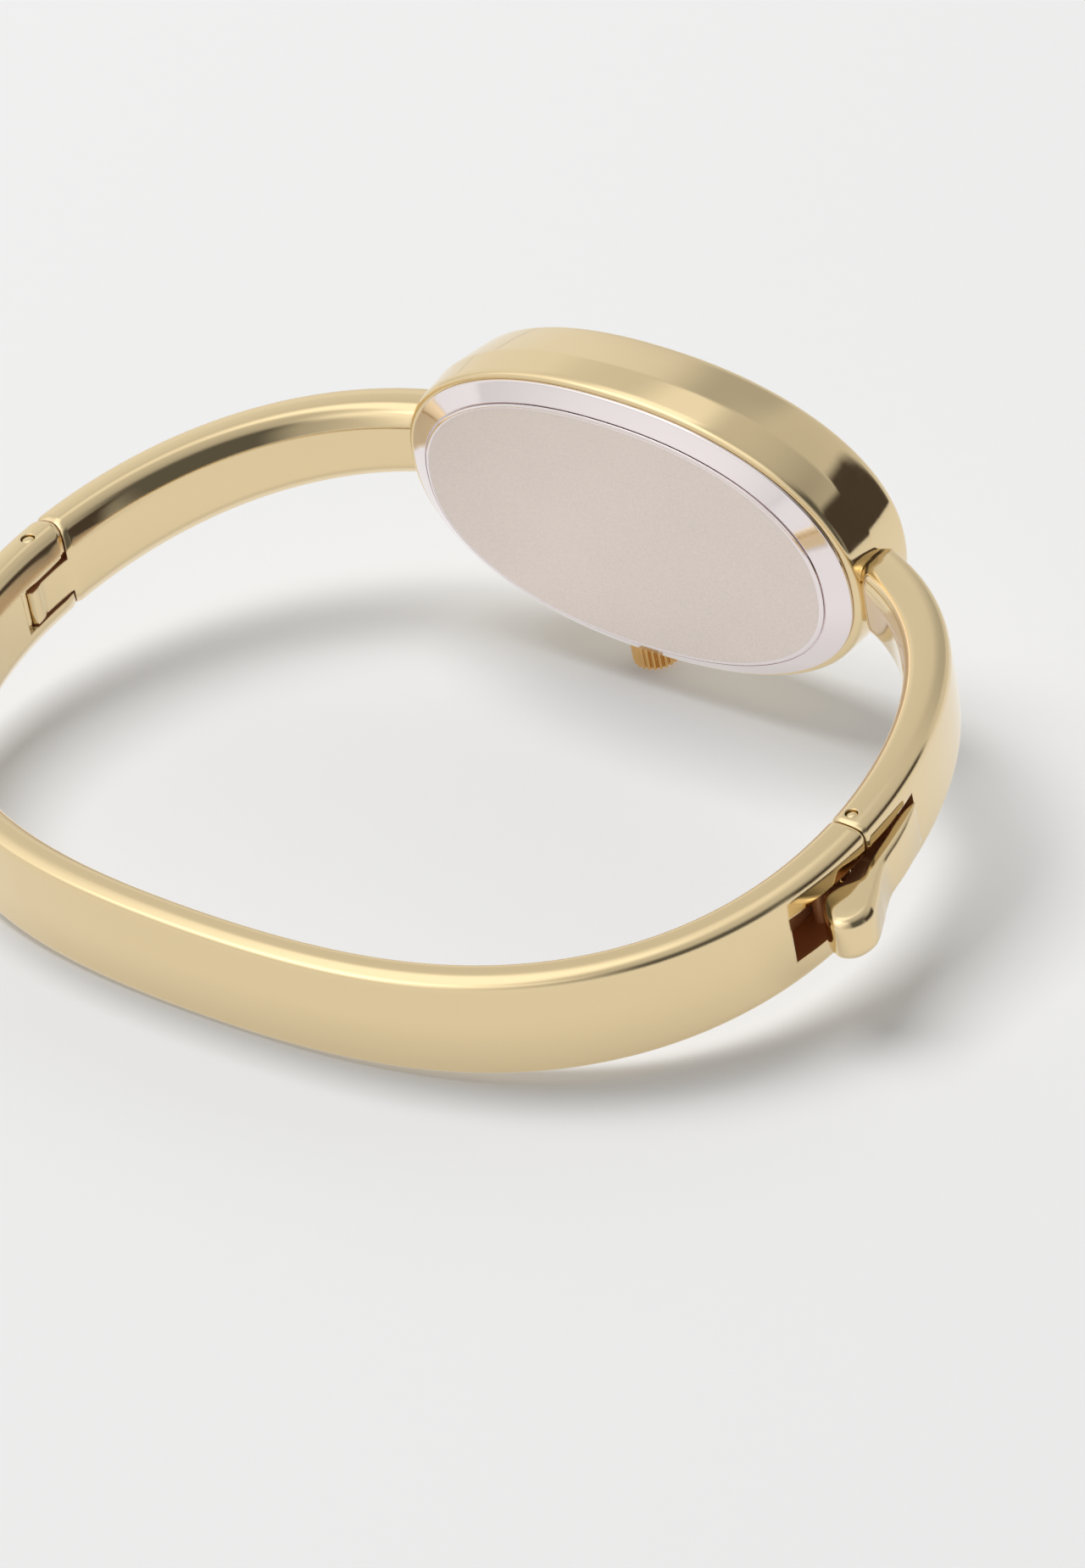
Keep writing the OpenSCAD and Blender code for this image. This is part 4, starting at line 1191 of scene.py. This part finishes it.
def works_finishes():
    """The material of each hidden node: what it is made of gives its name."""
    # Machined metals are bright, with tool marks about 0.12 mm apart; the wire's enamel is
    # smoother and redder
    def turned(name, code, gloss, wear, grain_mm=0.12, wave_mm=1.5, wave=0.003):
        return lambda: metal(name, linear(code), gloss, wear, grain_mm, wave_mm, wave, 0.02)

    def moulded(name, code, rough):
        return lambda: moulded_plastic(name, code, rough)

    makers = {
        turned("rolled_brass", "#D9B765", 0.2, 0.12):
            "battery_strap intermediate_wheel third_wheel centre_wheel cannon_pinion "
            "minute_wheel hour_wheel",
        turned("nickel_plated_brass", "#CFC9BC", 0.18, 0.1): "main_plate train_bridge",
        turned("turned_steel", "#C9C9CC", 0.15, 0.1):
            "quartz_can stator rotor stem clutch_wheel bridge_screws battery centre_tube",
        turned("enamelled_copper_wire", "#B4632D", 0.3, 0.2, 0.06, 0.5, 0.006): "coil",
        moulded("black_nitrile_rubber", "#26262A", 0.6): "case_back_seal crown_seal",
        moulded("white_acetal", "#E9E7E0", 0.4): "crystal_seal movement_holder",
        moulded("green_solder_mask", "#2F6B46", 0.3): "circuit_board",
        moulded("black_epoxy", "#1D1D1F", 0.35): "control_chip",
        gold_plate_deep: "crown_tube",
    }
    return {node: make for make, nodes in makers.items() for node in nodes.split()}


class WATCH_OT_works(bpy.types.Operator):
    """Finishes for the seals, the movement and the other hidden nodes"""
    bl_idname = "watch.works"
    bl_label = "Hidden works"

    def execute(self, context):
        for node, make in works_finishes().items():
            mesh = frame["nodes"][node].data
            mesh.materials.clear()
            mesh.materials.append(make())
        return {"FINISHED"}


# Stage

# The lit panels and dark cards of the studio, each laid over the ones before it: azimuth
# and elevation of its middle, half its width and height in degrees, softness and brightness
PANELS = [
    (-15, 30, 42, 45, 0.25, 0.45),
    (236, 43, 38, 29, 0.2, 1.2),
    (150, 14, 20, 26, 0.12, 0.93),
    (137, 61, 9, 7, 0.07, 1.03),
    (180, 67, 17, 11, 0.08, 1.4),
    (232, 50, 15, 13, 0.12, 2.1),
    (110, 40, 9, 9, 0.08, 0.52),
    (-14, 28, 24, 30, 0.14, 0.12),
]
BROWN_CARD = (38, 17, 23, 21, 0.05)
DIAL_FILL = (90, 16, 60, 24, 0.25)


def studio_world():
    """A pale studio all round, as the polished gold mirrors it: large lit panels at the
    left, in front and behind, and dark cards to the right. Matt surfaces get a low fill
    that is brighter on the dial's side."""
    world = bpy.data.worlds.new("studio")
    bpy.context.scene.world = world
    world.use_nodes = True
    tree = world.node_tree
    tree.nodes.clear()
    look = add_node(tree, "ShaderNodeTexCoord").outputs["Generated"]

    def patch(azimuth, elevation, half_wide, half_high, soft):
        """1 inside a panel seen at that direction, 0 outside it."""
        a, e = math.radians(azimuth), math.radians(elevation)
        middle = Vector((math.cos(a) * math.cos(e), math.sin(a) * math.cos(e), math.sin(e)))
        side = Vector((-math.sin(a), math.cos(a), 0))
        ahead, across, up = [
            add_node(tree, "ShaderNodeVectorMath", (look, axis), operation="DOT_PRODUCT")
            for axis in (middle, side, middle.cross(side) * -1)]
        gate = add_node(tree, "ShaderNodeMath", (ahead, 0.0), operation="GREATER_THAN")
        for along, half in ((across, half_wide), (up, half_high)):
            off = add_node(tree, "ShaderNodeMath", (along,), operation="ABSOLUTE")
            edge = math.sin(math.radians(half))
            inside = add_node(tree, "ShaderNodeMapRange", (off, edge - soft, edge + soft, 1.0, 0.0),
                              interpolation_type="SMOOTHSTEP")
            gate = add_node(tree, "ShaderNodeMath", (gate, inside), operation="MULTIPLY")
        return gate

    def grey(v):
        return (v, v, v * 0.985, 1)

    height = add_node(tree, "ShaderNodeSeparateXYZ", (look,)).outputs["Z"]
    rise = add_node(tree, "ShaderNodeMapRange", (height, 0.75, 1.0, 0.0, 1.0))
    tone = add_node(tree, "ShaderNodeMix", (rise, grey(0.74), grey(0.66)), data_type="RGBA")
    layers = [(panel, grey(level)) for *panel, level in PANELS] + [(BROWN_CARD, linear("#4A4340"))]
    for panel, rgba in layers:
        tone = add_node(tree, "ShaderNodeMix", (patch(*panel), tone, rgba), data_type="RGBA")
    level = add_node(tree, "ShaderNodeMath", (patch(*DIAL_FILL), 0.95, 0.1), operation="MULTIPLY_ADD")
    # Only what the metal mirrors to the camera sees the panels. The floor gets the fill,
    # also by way of the metal, so that the shadow at the band's foot stays.
    path = add_node(tree, "ShaderNodeLightPath").outputs
    past_floor = add_node(tree, "ShaderNodeMath", (path["Diffuse Depth"], 0.0), operation="ADD",
                          use_clamp=True)
    direct = add_node(tree, "ShaderNodeMath", (path["Is Glossy Ray"], past_floor),
                      operation="SUBTRACT", use_clamp=True)
    fill, panels, backdrop = [
        add_node(tree, "ShaderNodeBackground", {"Color": rgba, "Strength": strength})
        for rgba, strength in ((grey(1.0), level), (tone, 1.0), (linear("#EBEBEB"), 1.0))]
    seen = add_node(tree, "ShaderNodeMixShader", (direct, fill, panels))
    every = add_node(tree, "ShaderNodeMixShader", (path["Is Camera Ray"], seen, backdrop))
    add_node(tree, "ShaderNodeOutputWorld", {"Surface": every})


def studio_paper():
    # Matt background paper: an even pale grey with a barely visible fibre of 2 mm.
    tones = shade(finish().floor, 0.99), shade(finish().floor, 1.0)
    material, tree, shader, _ = two_tone("matt_background_paper", 2, 3.0, *tones)
    if tree is None:
        return material
    feed(tree, shader, {"Roughness": 1.0, "Specular IOR Level": 0.0})
    # The lit backdrop paper glows a little towards the camera and in reflections
    glow = add_node(tree, "ShaderNodeEmission", {"Color": linear("#FAFAFA"), "Strength": 1.0})
    path = add_node(tree, "ShaderNodeLightPath").outputs
    seen = add_node(tree, "ShaderNodeMath", (path["Is Camera Ray"], 0.2), operation="MULTIPLY")
    part = add_node(tree, "ShaderNodeMath", (path["Is Glossy Ray"], 0.6, seen), operation="MULTIPLY_ADD")
    surface = add_node(tree, "ShaderNodeMixShader", (part, shader, glow))
    feed(tree, tree.nodes["Material Output"], {"Surface": surface})
    return material


class WATCH_OT_stage(bpy.types.Operator):
    """Pale floor, soft studio light and the camera"""
    bl_idname = "watch.stage"
    bl_label = "Stage"

    def execute(self, context):
        scene = context.scene
        scene.view_settings.view_transform = "Standard"
        studio_world()
        reach, n = 3.0, 24
        steps = [reach * (2 * i / n - 1) for i in range(n + 1)]
        verts = [(x, y, 0) for y in steps for x in steps]
        corners = [k * (n + 1) + i for k in range(n) for i in range(n)]
        faces = [(a, a + 1, a + n + 2, a + n + 1) for a in corners]
        paper = new_piece("background_paper", verts, faces)
        paper.data.materials.append(studio_paper())

        lamp = bpy.data.lights.new("softbox", "AREA")
        lamp.shape, lamp.size, lamp.energy = "SQUARE", 1.0, 20.6
        box = bpy.data.objects.new("softbox", lamp)
        box.location = Vector((-0.59, -0.08, 1.36))
        box.rotation_euler = (-box.location).to_track_quat("-Z", "Y").to_euler()
        box.visible_glossy = False
        scene.collection.objects.link(box)

        # The camera comes from the fit to the photograph
        camera = bpy.data.cameras.new("camera")
        camera.sensor_width = 36
        camera.lens = 270.13
        camera.clip_start, camera.clip_end = 0.01, 20
        view = bpy.data.objects.new("camera", camera)
        spot = Vector((371.066, -471.612, 357.221)) * MM
        aim = Vector((4.951, 0.837, 4.572)) * MM
        lean = Quaternion((0, 0, 1), math.radians(-3.359))
        view.rotation_mode = "QUATERNION"
        view.rotation_quaternion = (aim - spot).to_track_quat("-Z", "Y") @ lean
        view.location = spot
        scene.collection.objects.link(view)
        scene.camera = view
        return {"FINISHED"}


class WATCH_PT_panel(bpy.types.Panel):
    """Lists the watch's pieces and sizes"""
    bl_idname = "WATCH_PT_panel"
    bl_label = "Bangle watch"
    bl_space_type = "VIEW_3D"
    bl_region_type = "UI"
    bl_category = "Watch"

    def draw(self, context):
        column = self.layout.column(align=True)
        for kind in PIECES:
            column.operator(kind.bl_idname)
        for name in GROUPS:
            box = self.layout.box()
            box.label(text=name.replace("watch_", "").title())
            group = getattr(context.scene, name)
            for key in group.bl_rna.properties.keys():
                if key not in {"rna_type", "name"}:
                    box.prop(group, key)


PIECES = [WATCH_OT_case, WATCH_OT_case_back, WATCH_OT_crown, WATCH_OT_crystal, WATCH_OT_dial,
          WATCH_OT_hands, WATCH_OT_left_arm, WATCH_OT_right_arm, WATCH_OT_front_band,
          WATCH_OT_pins, WATCH_OT_latch, WATCH_OT_works, WATCH_OT_stage]
GROUPS = {"watch_ring": RingSizes, "watch_joint": JointSizes, "watch_case": CaseSizes,
          "watch_crown": CrownSizes, "watch_finish": Finishes}


def register():
    for kind in list(GROUPS.values()) + PIECES + [WATCH_PT_panel]:
        bpy.utils.register_class(kind)
    for name, kind in GROUPS.items():
        setattr(bpy.types.Scene, name, PointerProperty(type=kind))


def unregister():
    for name in GROUPS:
        delattr(bpy.types.Scene, name)
    for kind in [WATCH_PT_panel] + PIECES[::-1] + list(GROUPS.values()):
        bpy.utils.unregister_class(kind)


def main():
    register()
    for kind in PIECES:
        group, name = kind.bl_idname.split(".")
        getattr(getattr(bpy.ops, group), name)()


if __name__ == "__main__":
    main()
